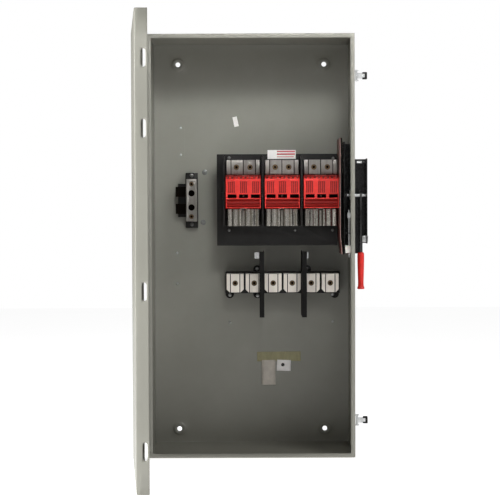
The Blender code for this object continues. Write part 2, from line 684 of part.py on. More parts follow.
def build_line_lug(pole, x):
    """Two-barrel aluminium wire connector at the top of a pole."""
    back = BASE_FRONT - GAP
    low = LUG_TOP - LUG_HEIGHT
    lug = box(f"{pole}_line_lug", (x - LUG_WIDTH / 2, back - LUG_DEPTH, low),
              (x + LUG_WIDTH / 2, back, LUG_TOP), ALUMINIUM, bevel=EDGE)
    bore_y = back - LUG_DEPTH / 2 + LUG_BORE_SHIFT
    for index, offset in enumerate((-LUG_BORE_PITCH / 2, LUG_BORE_PITCH / 2)):
        cut(lug,
            rod(f"{pole}_line_bore_{index}", (x + offset, bore_y, low - PAST),
                (x + offset, bore_y, LUG_TOP + PAST), LUG_BORE_RADIUS),
            rod(f"{pole}_line_screw_hole_{index}",
                (x + offset, back - LUG_DEPTH - PAST, LUG_TOP - LUG_HEIGHT / 2),
                (x + offset, bore_y, LUG_TOP - LUG_HEIGHT / 2), SET_SCREW_RADIUS))
    for index, offset in enumerate((-LUG_FLANGE_GROOVE, 0, LUG_FLANGE_GROOVE)):
        cut(lug, groove(f"{pole}_line_lug_groove_{index}", x + offset, back - LUG_DEPTH, low, LUG_TOP))


def build_line_jaw(pole, x):
    """Copper contact under the line lug: a strap with two leaves astride the blade."""
    back = BASE_FRONT - GAP
    low = JAW_TOP - JAW_HEIGHT
    jaw = box(f"{pole}_line_jaw", (x - JAW_STRAP / 2, back - JAW_LEAF, low),
              (x + JAW_STRAP / 2, back, LUG_TOP - LUG_HEIGHT - GAP), PLATED_COPPER)
    inner = BLADE_THICKNESS / 2 + RUN
    for side in (-1, 1):
        left, right = sorted((x + side * inner, x + side * (inner + JAW_LEAF)))
        fuse(jaw, box(f"{pole}_line_leaf_{side + 1}",
                      (left, AXIS_Y - BLADE_WIDTH / 2, low), (right, back - PAST, JAW_TOP)))


def shield_front():
    return RIM_Y + SHIELD_SETBACK


def build_arc_shield(pole, x):
    """Red hood over the contacts, with a row of three windows to see the blade."""
    half = SHIELD_WIDTH / 2
    front, back = shield_front(), BASE_FRONT - GAP
    hood = box(f"{pole}_arc_shield", (x - half, front, SHIELD_BOTTOM),
               (x + half, back, SHIELD_TOP), RED_PLASTIC)
    cut(hood, box(f"{pole}_shield_inside",
                  (x - half + SHIELD_WALL, front + SHIELD_WALL, SHIELD_BOTTOM - PAST),
                  (x + half - SHIELD_WALL, back + PAST, SHIELD_TOP - SHIELD_WALL)))
    window = (SHIELD_WIDTH - 4 * WINDOW_POST - 2 * SHIELD_WALL) / 3
    for index in range(3):
        left = x - half + SHIELD_WALL + WINDOW_POST + index * (window + WINDOW_POST)
        cut(hood, box(f"{pole}_window_{index}",
                      (left, front - PAST, WINDOW_MIDDLE - WINDOW_HEIGHT / 2),
                      (left + window, front + 2 * SHIELD_WALL,
                       WINDOW_MIDDLE + WINDOW_HEIGHT / 2)))
    notch = CROSSBAR_RADIUS + SHIELD_CLEARANCE
    cut(hood, box(f"{pole}_crossbar_notch",
                  (x - half - PAST, AXIS_Y - notch, AXIS_HEIGHT - notch),
                  (x + half + PAST, back + PAST, AXIS_HEIGHT + notch)))
    relief = JAW_STRAP / 2 + SHIELD_CLEARANCE
    cut(hood, box(f"{pole}_jaw_relief",
                  (x - relief, back - JAW_LEAF - JAW_RELIEF, SHIELD_TOP - 2 * SHIELD_WALL),
                  (x + relief, back + PAST, SHIELD_TOP + PAST)))


def clip_bow(back, inset):
    """Half plan of a spring leaf, from its outer edge to the fuse slot, inset from its face."""
    near, far = FUSE_SLOT / 2, CLIP_HALF_WIDTH
    front = back - CLIP_DEPTH + CLIP_BEND
    radius = CLIP_BEND - inset
    return ([(far - inset, back - PAST)] + arc((far - CLIP_BEND, front), radius, 0, -90, 6)
            + arc((near + CLIP_BEND, front), radius, -90, -180, 6) + [(near + inset, back - PAST)])


def clip_outline(x, side, back):
    """Closed plan of one spring leaf, on one side of the fuse slot."""
    outline = clip_bow(back, 0) + clip_bow(back, CLIP_SHEET)[::-1]
    return [(x + side * across, depth) for across, depth in outline]


def build_fuse_clip(pole, x):
    """Spring clip for the fuse's upper blade, with the load-side contact above it."""
    back = BASE_FRONT - GAP
    clip = box(f"{pole}_fuse_clip", (x - CLIP_HALF_WIDTH, back - JAW_LEAF, CLIP_BOTTOM),
               (x + CLIP_HALF_WIDTH, back, CLIP_TOP), PLATED_COPPER)
    for side in (-1, 1):
        fuse(clip, plate(f"{pole}_clip_leaf_{side + 1}", clip_outline(x, side, back), "Z",
                         CLIP_BOTTOM, CLIP_TOP))
    contact_top = AXIS_HEIGHT - CROSSBAR_RADIUS - CONTACT_DROP
    fuse(clip, box(f"{pole}_contact_strap", (x - CONTACT_HALF, back - JAW_LEAF, CLIP_TOP - CONTACT_DROP),
                   (x + CONTACT_HALF, back, contact_top)))
    inner = BLADE_THICKNESS / 2 + RUN
    for side in (-1, 1):
        left, right = sorted((x + side * inner, x + side * (inner + JAW_LEAF)))
        fuse(clip, box(f"{pole}_load_leaf_{side + 1}",
                       (left, AXIS_Y - BLADE_WIDTH / 2, CLIP_TOP + PAST),
                       (right, back - PAST, contact_top - CONTACT_DROP)))


def build_rotor(rotor_axis):
    """Round crossbar through all poles, with one double-ended blade in each."""
    left = POLES[0] - POLE_PITCH / 2 - POLE_WALL
    right = CRANK_X - GAP
    bar = rod("blade_crossbar", (left, AXIS_Y, AXIS_HEIGHT), (right, AXIS_Y, AXIS_HEIGHT),
              CROSSBAR_RADIUS, BLACK_MOULDING)
    blades = []
    for pole, x in zip(POLE_NAMES, POLES):
        half = (BLADE_THICKNESS / 2, BLADE_WIDTH / 2, BLADE_LENGTH / 2)
        centre = (x, AXIS_Y, AXIS_HEIGHT)
        blade = box(f"{pole}_switch_blade", [c - h for c, h in zip(centre, half)],
                    [c + h for c, h in zip(centre, half)], PLATED_COPPER, bevel=BLADE_ROUNDING)
        blades.append(blade)
        slot_half = (half[0] + GAP, half[1] + GAP, CROSSBAR_RADIUS + PAST)
        opening = box(f"{pole}_blade_slot", [c - h for c, h in zip(centre, slot_half)],
                      [c + h for c, h in zip(centre, slot_half)])
        cut(bar, opening)
    hang(rotor_axis, bar, *blades)


# ---------------------------------------------------------------- load side and ground

def load_lug_centres():
    for pole, x in zip(POLE_NAMES, POLES):
        for hand, side in (("left", -1), ("right", 1)):
            yield f"{pole}_pole_{hand}_load_lug", x + LOAD_OFFSET + side * LOAD_LUG_SPREAD / 2


def build_load_lug(name, x):
    """Aluminium wire connector with an upright bore and a set-screw hole in front."""
    half_w, half_h = LOAD_LUG_WIDTH / 2, LOAD_LUG_HEIGHT / 2
    back = LOAD_FRONT - GAP
    low, high = LOAD_LUG_MIDDLE - half_h, LOAD_LUG_MIDDLE + half_h
    outline = [(x - half_w, high), (x - half_w, low + LOAD_LUG_CHAMFER),
               (x - half_w + LOAD_LUG_CHAMFER, low), (x + half_w - LOAD_LUG_CHAMFER, low),
               (x + half_w, low + LOAD_LUG_CHAMFER), (x + half_w, high)]
    lug = plate(name, outline, "Y", back - LOAD_LUG_DEPTH, back, ALUMINIUM)
    bore_y = back - LOAD_LUG_DEPTH / 2 + LUG_BORE_SHIFT
    cut(lug,
        rod(name + "_bore", (x, bore_y, LOAD_LUG_MIDDLE - half_h - PAST),
            (x, bore_y, LOAD_LUG_MIDDLE + half_h + PAST), LUG_BORE_RADIUS),
        rod(name + "_screw_hole", (x, back - LOAD_LUG_DEPTH - PAST, LOAD_LUG_MIDDLE),
            (x, bore_y, LOAD_LUG_MIDDLE), SET_SCREW_RADIUS))
    for side in (-1, 1):
        cut(lug, groove(f"{name}_groove_{side + 1}", x + side * LOAD_LUG_GROOVE,
                        back - LOAD_LUG_DEPTH, low, high))


def build_load_base():
    """Moulded block on the back wall under the load lugs, with five round feet."""
    centres = [x for name, x in load_lug_centres()]
    left = centres[0] - LOAD_LUG_WIDTH / 2 - LOAD_BASE_MARGIN
    right = centres[-1] + LOAD_LUG_WIDTH / 2 + LOAD_BASE_MARGIN
    top = LOAD_LUG_MIDDLE + LOAD_LUG_HEIGHT / 2 + LOAD_BASE_MARGIN
    bottom = LOAD_LUG_MIDDLE - LOAD_LUG_HEIGHT / 2 - LOAD_BASE_MARGIN
    back = BACK_Y - GAP
    block = box("load_terminal_base", (left, LOAD_FRONT, bottom), (right, back, top),
                BLACK_MOULDING, bevel=EDGE)
    inner_left, inner_right = centres[1] + FOOT_INSET, centres[-2] - FOOT_INSET
    feet = ((left + FOOT_RADIUS, bottom), (inner_left, bottom), (right - FOOT_RADIUS, bottom),
            (inner_left, top), (inner_right, top))
    for index, (x, z) in enumerate(feet):
        reach = FOOT_REACH if z == top else -FOOT_REACH
        fuse(block, rod(f"load_base_foot_{index}", (x, back - FOOT_THICKNESS, z + reach),
                        (x, back, z + reach), FOOT_RADIUS))


def build_phase_barrier(side, between, lip_turn):
    """Folded fibre sheet between two poles, with its front edge turned to one side."""
    web = (between - BARRIER_SHEET / 2, between + BARRIER_SHEET / 2)
    front = RIM_Y + BARRIER_SETBACK
    back = LOAD_FRONT - GAP
    barrier = box(f"{side}_phase_barrier", (web[0], front, BARRIER_BOTTOM),
                  (web[1], back, BARRIER_TOP), BLACK_MOULDING)
    lip = sorted((web[0] if lip_turn > 0 else web[1], web[lip_turn > 0] + lip_turn * (
        BARRIER_LIP - BARRIER_SHEET)))
    fuse(barrier, box(f"{side}_barrier_lip", (lip[0], front, BARRIER_BOTTOM),
                      (lip[1], front + BARRIER_SHEET, BARRIER_TOP)))


def build_ground_block():
    """Aluminium ground bar with two side lugs, on a moulded base."""
    back = BACK_Y - GAP
    base_front = back - GROUND_BASE_DEPTH
    half_w, half_base = GROUND_BAR_WIDTH / 2, GROUND_BASE_HEIGHT / 2
    base_half_w = half_w + GROUND_BASE_MARGIN
    base = box("ground_bar_base", (GROUND_X - base_half_w, base_front, GROUND_MIDDLE - half_base),
               (GROUND_X + base_half_w, back, GROUND_MIDDLE + half_base), BLACK_MOULDING,
               bevel=EDGE)
    side_half = SIDE_LUG_SPACING / 2 + SIDE_LUG_HEIGHT / 2 + GROUND_LOBE_MARGIN
    step_in, step_back = GROUND_LOBE_STEP
    fuse(base, box("ground_base_lobe",
                   (GROUND_X - half_w - SIDE_LUG_WIDTH + step_in, base_front + step_back,
                    GROUND_MIDDLE - side_half),
                   (GROUND_X, back - PAST, GROUND_MIDDLE + side_half)))
    bar_back = base_front - GAP
    bar_front = bar_back - GROUND_BAR_DEPTH
    half_bar = GROUND_BAR_HEIGHT / 2
    bar = box("ground_bar", (GROUND_X - half_w, bar_front, GROUND_MIDDLE - half_bar),
              (GROUND_X + half_w, bar_back, GROUND_MIDDLE + half_bar), ALUMINIUM, bevel=EDGE)
    for index, level in enumerate((-1, 1)):
        middle = GROUND_MIDDLE + level * SIDE_LUG_SPACING / 2
        lug = box(f"ground_side_lug_{index}",
                  (GROUND_X - half_w - SIDE_LUG_WIDTH, bar_front + SIDE_LUG_STEP,
                   middle - SIDE_LUG_HEIGHT / 2),
                  (GROUND_X - half_w + 2 * PAST, bar_back, middle + SIDE_LUG_HEIGHT / 2))
        fuse(bar, lug)
        bore_z = GROUND_MIDDLE + level * GROUND_BORE_SPACING / 2
        cut(bar, rod(f"ground_bore_{index}", (GROUND_X, bar_front - PAST, bore_z),
                     (GROUND_X, bar_front + GROUND_BORE_DEPTH, bore_z), GROUND_BORE_RADIUS, sides=20))
        screw_z = GROUND_MIDDLE + level * GROUND_SCREW_SPACING / 2
        cut(bar, rod(f"ground_screw_hole_{index}", (GROUND_X, bar_front - PAST, screw_z),
                     (GROUND_X, bar_front + GROUND_SCREW_DEPTH, screw_z), GROUND_SCREW_RADIUS, sides=20))


def build_label():
    """Plain card on the upper edge of the switch base."""
    x = POLES[1]
    back = BASE_FRONT - GAP
    box("label_card", (x - LABEL_WIDTH / 2, back - LABEL_SHEET, LABEL_BOTTOM),
        (x + LABEL_WIDTH / 2, back, LABEL_BOTTOM + LABEL_HEIGHT), CARD)


# ---------------------------------------------------------------- mechanism and handle

def build_side_barrier():
    """Red fibre sheet that parts the poles from the mechanism."""
    front, back = RIM_Y + SIDE_BARRIER_SETBACK, RIM_Y + FRAME_SETBACK + FRAME_DEPTH
    sheet = box("side_insulating_barrier", (SIDE_BARRIER_LEFT, front, SIDE_BARRIER_BOTTOM),
                (SIDE_BARRIER_RIGHT, back, SIDE_BARRIER_TOP), RED_FIBRE)
    lip_right = SIDE_BARRIER_LEFT + SIDE_BARRIER_LIP
    lip_top = min(SIDE_BARRIER_BOTTOM + SIDE_BARRIER_SHEET, FRAME_BOTTOM - GAP)
    fuse(sheet, box("side_barrier_lip", (SIDE_BARRIER_LEFT, front, SIDE_BARRIER_BOTTOM),
                    (lip_right, back, lip_top)))
    cut(sheet, rod("side_barrier_hole", (SIDE_BARRIER_LEFT - PAST, AXIS_Y, AXIS_HEIGHT),
                   (SIDE_BARRIER_RIGHT + PAST, AXIS_Y, AXIS_HEIGHT), CROSSBAR_RADIUS + 2 * RUN))


def build_frame():
    """Folded steel channel, open to the front, that holds the mechanism to the wall."""
    front, back = RIM_Y + FRAME_SETBACK, RIM_Y + FRAME_SETBACK + FRAME_DEPTH
    left, right = FRAME_LEFT, FRAME_LEFT + FRAME_WIDTH
    frame = box("mechanism_frame", (left, front, FRAME_BOTTOM), (right, back, FRAME_TOP),
                BLACK_STEEL)
    cut(frame, box("frame_inside", (left + FRAME_SHEET, front - PAST, FRAME_BOTTOM - PAST),
                   (right - FRAME_SHEET, back - FRAME_SHEET, FRAME_TOP + PAST)))
    cut(frame, rod("frame_crossbar_hole", (left - PAST, AXIS_Y, AXIS_HEIGHT),
                   (left + 2 * FRAME_SHEET, AXIS_Y, AXIS_HEIGHT), CROSSBAR_RADIUS + RUN))
    cut(frame, rod("frame_bushing_hole", (right - 2 * FRAME_SHEET, AXIS_Y, AXIS_HEIGHT),
                   (right + PAST, AXIS_Y, AXIS_HEIGHT), BUSHING_RADIUS + GAP))


def build_bushing():
    """Flanged bushing that carries the handle shaft through the wall."""
    inside = FRAME_LEFT + FRAME_WIDTH - FRAME_SHEET - GAP
    bushing = rod("shaft_bushing", (inside - BUSHING_FLANGE, AXIS_Y, AXIS_HEIGHT),
                  (WALL_OUT - BUSHING_SETBACK, AXIS_Y, AXIS_HEIGHT), BUSHING_RADIUS, NYLON)
    fuse(bushing, rod("bushing_flange", (inside - BUSHING_FLANGE, AXIS_Y, AXIS_HEIGHT),
                      (inside, AXIS_Y, AXIS_HEIGHT), BUSHING_FLANGE_RADIUS))
    cut(bushing, rod("bushing_bore", (inside - 2 * BUSHING_FLANGE, AXIS_Y, AXIS_HEIGHT),
                     (WALL_OUT + PAST, AXIS_Y, AXIS_HEIGHT), SHAFT_RADIUS + RUN))


def build_interlock(hook_axis):
    """Hook on a sprung rod that rises when the handle turns, in a nylon guide block."""
    half, depth = HOOK_HALF
    tip = HOOK_X - HOOK_TIP_OFFSET
    hook = box("interlock_hook", (HOOK_X - half, HOOK_Y - depth, HOOK_BOTTOM),
               (HOOK_X + half, HOOK_Y + depth, HOOK_TOP - HOOK_SHOULDER), ZINC_STEEL)
    fuse(hook,
         box("hook_tip", (tip - HOOK_TIP / 2, HOOK_Y - depth, HOOK_BOTTOM + PAST),
             (tip + HOOK_TIP / 2, HOOK_Y + depth, HOOK_TOP)),
         rod("hook_rod", (HOOK_X, HOOK_Y, ROD_END), (HOOK_X, HOOK_Y, HOOK_BOTTOM + PAST),
             ROD_RADIUS, sides=16))
    hang(hook_axis, hook)
    guide = box("rod_guide_block", (GUIDE_LEFT, GUIDE_FRONT, GUIDE_TOP - GUIDE_HEIGHT),
                (HOOK_X + GUIDE_REACH, GUIDE_BACK, GUIDE_TOP), NYLON, bevel=EDGE)
    cut(guide, rod("guide_bore", (HOOK_X, HOOK_Y, GUIDE_TOP - GUIDE_HEIGHT - PAST),
                   (HOOK_X, HOOK_Y, GUIDE_TOP + PAST), ROD_RADIUS + RUN, sides=16))


def build_spring():
    """Return spring around the interlock rod."""
    points_per_turn = 12
    count = SPRING_TURNS * points_per_turn + 1
    height = HOOK_BOTTOM - GAP - SPRING_WIRE - (SPRING_BOTTOM + SPRING_WIRE)
    curve = bpy.data.curves.new("interlock_spring", "CURVE")
    curve.dimensions = "3D"
    curve.bevel_depth = SPRING_WIRE / 2
    curve.bevel_resolution = 1
    curve.use_fill_caps = True
    spline = curve.splines.new("POLY")
    spline.points.add(count - 1)
    for index, point in enumerate(spline.points):
        turn = 2 * math.pi * index / points_per_turn
        point.co = (SPRING_RADIUS * math.cos(turn), SPRING_RADIUS * math.sin(turn),
                    height * index / (count - 1), 1)
    spring = bpy.data.objects.new("interlock_spring", curve)
    spring.location = (HOOK_X, HOOK_Y, SPRING_BOTTOM + SPRING_WIRE)
    curve.materials.append(ZINC_STEEL)
    PARTS.objects.link(spring)


def build_spring_seat():
    """Bent tab on the frame that the spring's lower end rests on."""
    seat_top = SPRING_BOTTOM - GAP
    seat = box("spring_seat", (GUIDE_LEFT, GUIDE_FRONT, seat_top - FRAME_SHEET),
               (HOOK_X + GUIDE_REACH, GUIDE_BACK, seat_top), BLACK_STEEL)
    cut(seat, rod("seat_hole", (HOOK_X, HOOK_Y, seat_top - 2 * FRAME_SHEET),
                  (HOOK_X, HOOK_Y, seat_top + PAST), ROD_RADIUS + RUN, sides=16))


def build_shaft(handle_axis):
    """Handle shaft, with the crank on its inner end."""
    inner_end = CRANK_X
    outer_end = WALL_OUT + HOUSING_WIDTH - HOUSING_SHEET - GAP
    shaft = rod("handle_shaft", (inner_end, AXIS_Y, AXIS_HEIGHT), (outer_end, AXIS_Y, AXIS_HEIGHT),
                SHAFT_RADIUS, ZINC_STEEL)
    start = CRANK_X + CRANK_OFFSET
    tip = (AXIS_Y, AXIS_HEIGHT - CRANK_LENGTH + CRANK_TIP_RADIUS)
    outline = (arc((AXIS_Y, AXIS_HEIGHT), CRANK_BOSS_RADIUS, 0, 180, 8)
               + arc(tip, CRANK_TIP_RADIUS, 180, 360, 6))
    crank = plate("operating_crank", outline, "X", start, start + CRANK_THICKNESS, ZINC_STEEL)
    cut(crank,
        rod("crank_bore", (start - PAST, AXIS_Y, AXIS_HEIGHT),
            (start + CRANK_THICKNESS + PAST, AXIS_Y, AXIS_HEIGHT), SHAFT_RADIUS + GAP),
        rod("crank_link_hole", (start - PAST, *tip), (start + CRANK_THICKNESS + PAST, *tip),
            CRANK_LINK_RADIUS, sides=16))
    hang(handle_axis, shaft, crank)


def grip_profile():
    """Grip outline from its top face down: a slight waist, then a flared end."""
    stations = 9
    profile = [(0, 0), (GRIP_RADIUS - GRIP_ROUNDING, 0)]
    for index in range(stations):
        share = index / (stations - 1)
        drop = GRIP_ROUNDING + share * (GRIP_LENGTH - 2 * GRIP_ROUNDING)
        radius = GRIP_RADIUS - GRIP_WAIST * math.sin(math.pi * share) + GRIP_WAIST * share ** 8
        profile.append((radius, -drop))
    return profile + [(GRIP_RADIUS - GRIP_ROUNDING, -GRIP_LENGTH), (0, -GRIP_LENGTH)]


def build_handle(handle_axis):
    """Flat steel arm with a moulded grip, hanging straight down in the OFF position."""
    low, high = ARM_X - ARM_THICKNESS / 2, ARM_X + ARM_THICKNESS / 2
    half, tang_half = ARM_WIDTH / 2, TANG_WIDTH / 2
    shoulder = GRIP_TOP + GAP
    tang_end = GRIP_TOP - TANG_LENGTH
    outline = (arc((AXIS_Y, AXIS_HEIGHT), ARM_BOSS_RADIUS, -40, 220, 14)
               + [(AXIS_Y - half, AXIS_HEIGHT - ARM_NECK), (AXIS_Y - half, shoulder + ARM_SHOULDER),
                  (AXIS_Y - tang_half, shoulder), (AXIS_Y - tang_half, tang_end),
                  (AXIS_Y + tang_half, tang_end), (AXIS_Y + tang_half, shoulder),
                  (AXIS_Y + half, shoulder + ARM_SHOULDER), (AXIS_Y + half, AXIS_HEIGHT - ARM_NECK)])
    arm = plate("handle_arm", outline, "X", low, high, ZINC_STEEL)
    cut(arm, rod("arm_bore", (low - PAST, AXIS_Y, AXIS_HEIGHT),
                 (high + PAST, AXIS_Y, AXIS_HEIGHT), SHAFT_RADIUS + GAP))
    grip = turned("handle_grip", grip_profile(), (ARM_X, AXIS_Y, GRIP_TOP), RED_PLASTIC)
    cut(grip, box("grip_pocket", (low - GAP, AXIS_Y - tang_half - GAP, tang_end - GAP),
                  (high + GAP, AXIS_Y + tang_half + GAP, GRIP_TOP + PAST)))
    hang(handle_axis, arm, grip)


def build_housing():
    """Folded channel outside the wall, open to the front, that the arm swings out of."""
    inner = WALL_OUT + GAP
    outer = WALL_OUT + HOUSING_WIDTH
    back = AXIS_Y + HOUSING_DEPTH / 2
    front = AXIS_Y - HOUSING_DEPTH / 2
    housing = box("handle_housing", (inner, front, HOUSING_BOTTOM), (outer, back, HOUSING_TOP),
                  BLACK_STEEL)
    cut(housing, box("housing_inside", (inner + HOUSING_SHEET, front - PAST, HOUSING_BOTTOM - PAST),
                     (outer - HOUSING_SHEET, back - HOUSING_SHEET, HOUSING_TOP + PAST)))
    cut(housing, box("housing_tail", (WALL_OUT + HOUSING_TAIL_WIDTH, front - PAST,
                                      HOUSING_BOTTOM - PAST),
                     (outer + PAST, back + PAST, HOUSING_BOTTOM + HOUSING_TAIL)))
    cut(housing, rod("housing_shaft_hole", (inner - PAST, AXIS_Y, AXIS_HEIGHT),
                     (inner + 2 * HOUSING_SHEET, AXIS_Y, AXIS_HEIGHT), SHAFT_RADIUS + RUN))
    tab_y = RIM_Y + TAB_SETBACK
    cut(housing, box("tab_slot", (outer - 2 * HOUSING_SHEET, tab_y - RUN, TAB_BOTTOM - RUN),
                     (outer + PAST, tab_y + TAB_THICKNESS + RUN, TAB_BOTTOM + TAB_HEIGHT + RUN)))
    spacer_z = HOUSING_TOP - SPACER_RADIUS - SPACER_INSET
    rod("housing_spacer", (inner + HOUSING_SHEET + GAP, AXIS_Y, spacer_z),
        (outer - HOUSING_SHEET - GAP, AXIS_Y, spacer_z), SPACER_RADIUS, ZINC_STEEL)


def build_padlock_tab(tab_axis):
    """Sliding tab: pushed in, it stands in front of the arm and takes a padlock."""
    outer = WALL_OUT + HOUSING_WIDTH
    tab_y = RIM_Y + TAB_SETBACK
    tab = box("padlock_tab", (outer + TAB_PROUD - TAB_LENGTH, tab_y, TAB_BOTTOM),
              (outer + TAB_PROUD, tab_y + TAB_THICKNESS, TAB_BOTTOM + TAB_HEIGHT), ZINC_STEEL,
              bevel=TAB_ROUNDING)
    hang(tab_axis, tab)


# ---------------------------------------------------------------- assembly

def build_all():
    door_axis = pivot("door_axis", (HINGE_X, HINGE_Y, 0))
    rotor_axis = pivot("rotor_axis", (POLES[0], AXIS_Y, AXIS_HEIGHT))
    handle_axis = pivot("handle_axis", (WALL_OUT, AXIS_Y, AXIS_HEIGHT))
    hook_axis = pivot("hook_axis", (HOOK_X, HOOK_Y, HOOK_BOTTOM))
    tab_axis = pivot("tab_axis", (WALL_OUT + HOUSING_WIDTH, RIM_Y + TAB_SETBACK, TAB_BOTTOM))

    build_enclosure()
    build_door(door_axis)
    build_catch(door_axis)
    for side, height in HINGE_HEIGHTS.items():
        build_hinge(side, height, door_axis)
    for side, height in LATCH_HEIGHTS.items():
        build_latch(side, height)

    build_switch_base()
    build_base_bracket("upper", BASE_TOP - BRACKET_INSET, 1)
    build_base_bracket("lower", BASE_BOTTOM + BRACKET_INSET, -1)
    for pole, x in zip(POLE_NAMES, POLES):
        build_line_lug(pole, x)
        build_line_jaw(pole, x)
        build_arc_shield(pole, x)
        build_fuse_clip(pole, x)
    build_rotor(rotor_axis)
    build_label()

    build_load_base()
    for name, x in load_lug_centres():
        build_load_lug(name, x)
    for side, index, turn in (("left", 0, -1), ("right", 1, 1)):
        between = (POLES[index] + POLES[index + 1]) / 2 + LOAD_OFFSET
        build_phase_barrier(side, between, turn)
    build_ground_block()

    build_side_barrier()
    build_frame()
    build_bushing()
    build_interlock(hook_axis)
    build_spring()
    build_spring_seat()
    build_shaft(handle_axis)
    build_handle(handle_axis)
    build_housing()
    build_padlock_tab(tab_axis)

    door_axis.rotation_euler.z = -DOOR_OPEN
    rotor_axis.rotation_euler.x = BLADE_OFF_TILT


build_all()
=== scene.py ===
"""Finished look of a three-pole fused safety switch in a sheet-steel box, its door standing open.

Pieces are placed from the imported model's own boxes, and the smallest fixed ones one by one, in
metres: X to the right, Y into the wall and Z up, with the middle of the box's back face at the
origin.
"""

import functools
import json
import math

import bmesh
import bpy
import numpy as np
from mathutils import Matrix, Vector

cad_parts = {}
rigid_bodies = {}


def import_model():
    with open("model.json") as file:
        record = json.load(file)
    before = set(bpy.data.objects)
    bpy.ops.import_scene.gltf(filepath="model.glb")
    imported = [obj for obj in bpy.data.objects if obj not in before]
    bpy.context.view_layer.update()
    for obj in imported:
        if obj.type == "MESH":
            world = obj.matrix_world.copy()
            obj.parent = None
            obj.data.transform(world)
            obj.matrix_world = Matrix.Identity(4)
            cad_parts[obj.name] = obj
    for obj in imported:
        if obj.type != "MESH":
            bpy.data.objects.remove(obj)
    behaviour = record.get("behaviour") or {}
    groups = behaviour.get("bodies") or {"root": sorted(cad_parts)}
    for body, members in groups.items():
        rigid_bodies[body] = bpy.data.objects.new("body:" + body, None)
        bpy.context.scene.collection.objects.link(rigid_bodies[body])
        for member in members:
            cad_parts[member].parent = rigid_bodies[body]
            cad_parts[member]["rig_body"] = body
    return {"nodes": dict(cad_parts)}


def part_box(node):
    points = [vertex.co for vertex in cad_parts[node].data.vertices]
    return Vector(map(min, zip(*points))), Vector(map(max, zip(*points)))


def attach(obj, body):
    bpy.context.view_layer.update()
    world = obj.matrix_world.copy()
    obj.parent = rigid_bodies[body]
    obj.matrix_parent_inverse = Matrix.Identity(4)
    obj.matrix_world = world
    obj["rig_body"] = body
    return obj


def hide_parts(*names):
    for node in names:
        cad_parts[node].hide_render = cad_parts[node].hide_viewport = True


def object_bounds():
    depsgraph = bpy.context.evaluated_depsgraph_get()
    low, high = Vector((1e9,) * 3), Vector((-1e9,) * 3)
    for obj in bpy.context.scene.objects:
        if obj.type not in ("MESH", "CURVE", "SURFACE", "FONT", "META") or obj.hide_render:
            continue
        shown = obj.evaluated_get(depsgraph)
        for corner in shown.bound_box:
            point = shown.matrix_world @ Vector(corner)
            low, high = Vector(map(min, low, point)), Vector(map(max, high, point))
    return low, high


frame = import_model()
CAD_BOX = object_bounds()

bl_info = {
    "name": "Fused safety switch",
    "version": (1, 0, 0),
    "blender": (4, 5, 0),
    "location": "View3D > Sidebar > Switch",
    "description": "Builds the finished surfaces of a three-pole fused safety switch",
    "category": "Object",
}

MM = 0.001
POLES = ("left", "middle", "right")
STOREYS = ("upper", "lower")


def node_box(node):
    """Lowest and highest corners of a node, as two arrays in metres."""
    low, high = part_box(node)
    return np.array(low), np.array(high)


def middle_of(node):
    low, high = node_box(node)
    return (low + high) / 2


BOX_LOW, BOX_HIGH = node_box("enclosure_box")
SHEET = 2 * MM                          # sheet steel of the box and the door
WALL_FACE = -SHEET                      # inside face of the back wall
TO_BACK = (0, 1, 0)                     # axis of the screws and heads that face the front


# ---------------------------------------------------------------- settings

def linear(code):
    """Scene-linear colour of an sRGB hex code such as 8c8f86."""
    values = [int(code[index:index + 2], 16) / 255 for index in (0, 2, 4)]
    return tuple(v / 12.92 if v <= 0.04045 else ((v + 0.055) / 1.055) ** 2.4 for v in values)


def colour_setting(name, code, description):
    return bpy.props.FloatVectorProperty(
        name=name, description=description, default=linear(code), size=3,
        subtype="COLOR", min=0, max=1)


def length_setting(name, millimetres, description):
    return bpy.props.FloatProperty(
        name=name, description=description, default=millimetres * MM,
        subtype="DISTANCE", unit="LENGTH", min=0)


class SwitchColours(bpy.types.PropertyGroup):
    """Colours of the finishes."""
    enamel: colour_setting("Enamel", "88877e", "Grey sprayed enamel of the box and its door")
    moulding: colour_setting("Moulding", "141210", "Black moulded bases")
    shield: colour_setting("Shield", "dc241a", "Red arc shields")
    grip: colour_setting("Grip", "d8241b", "Red handle grip")
    fibre: colour_setting("Side barrier", "6d2a27", "Dark red fibre sheet beside the poles")
    card: colour_setting("Card", "efecea", "White label card")
    bars: colour_setting("Bars", "d2535a", "Printed bars of the label card")
    paper: colour_setting("Paper", "c3bcb2", "Loose paper slips")
    tape: colour_setting("Tape", "98926f", "Masking tape on the back wall")


class SwitchSizes(bpy.types.PropertyGroup):
    """Sizes of the details that the finished surfaces add."""
    fold: length_setting("Fold radius", 2.6, "Outside radius of the folded sheet steel")
    corner: length_setting("Corner radius", 3.5, "Radius of the box's upright corners")
    dimple: length_setting("Dimple radius", 21, "Radius of the pressed ring at a mounting hole")
    shield_wall: length_setting("Shield wall", 1.6, "Wall of the moulded arc shields")
    groove: length_setting("Shield groove", 4.5, "Depth of the arc shields' upright grooves")
    louvre: length_setting("Louvre depth", 7, "Depth between the arc shields' lower ribs")
    leaf: length_setting("Clip leaf", 1.4, "Sheet of the fuse clips' rolled leaves")
    paper: length_setting("Paper", 0.4, "Thickness drawn for paper, card and tape")


def colours():
    return bpy.context.scene.switch_colours


def sizes():
    return bpy.context.scene.switch_sizes


# ---------------------------------------------------------------- finishes

def add_node(tree, kind, inputs=None, **settings):
    """Adds one shader node, with its settings, values and links."""
    node = tree.nodes.new("ShaderNode" + kind)
    for name, value in settings.items():
        setattr(node, name, value)
    for name, value in (inputs or {}).items():
        if isinstance(value, bpy.types.NodeSocket):
            tree.links.new(value, node.inputs[name])
        else:
            node.inputs[name].default_value = value
    return node


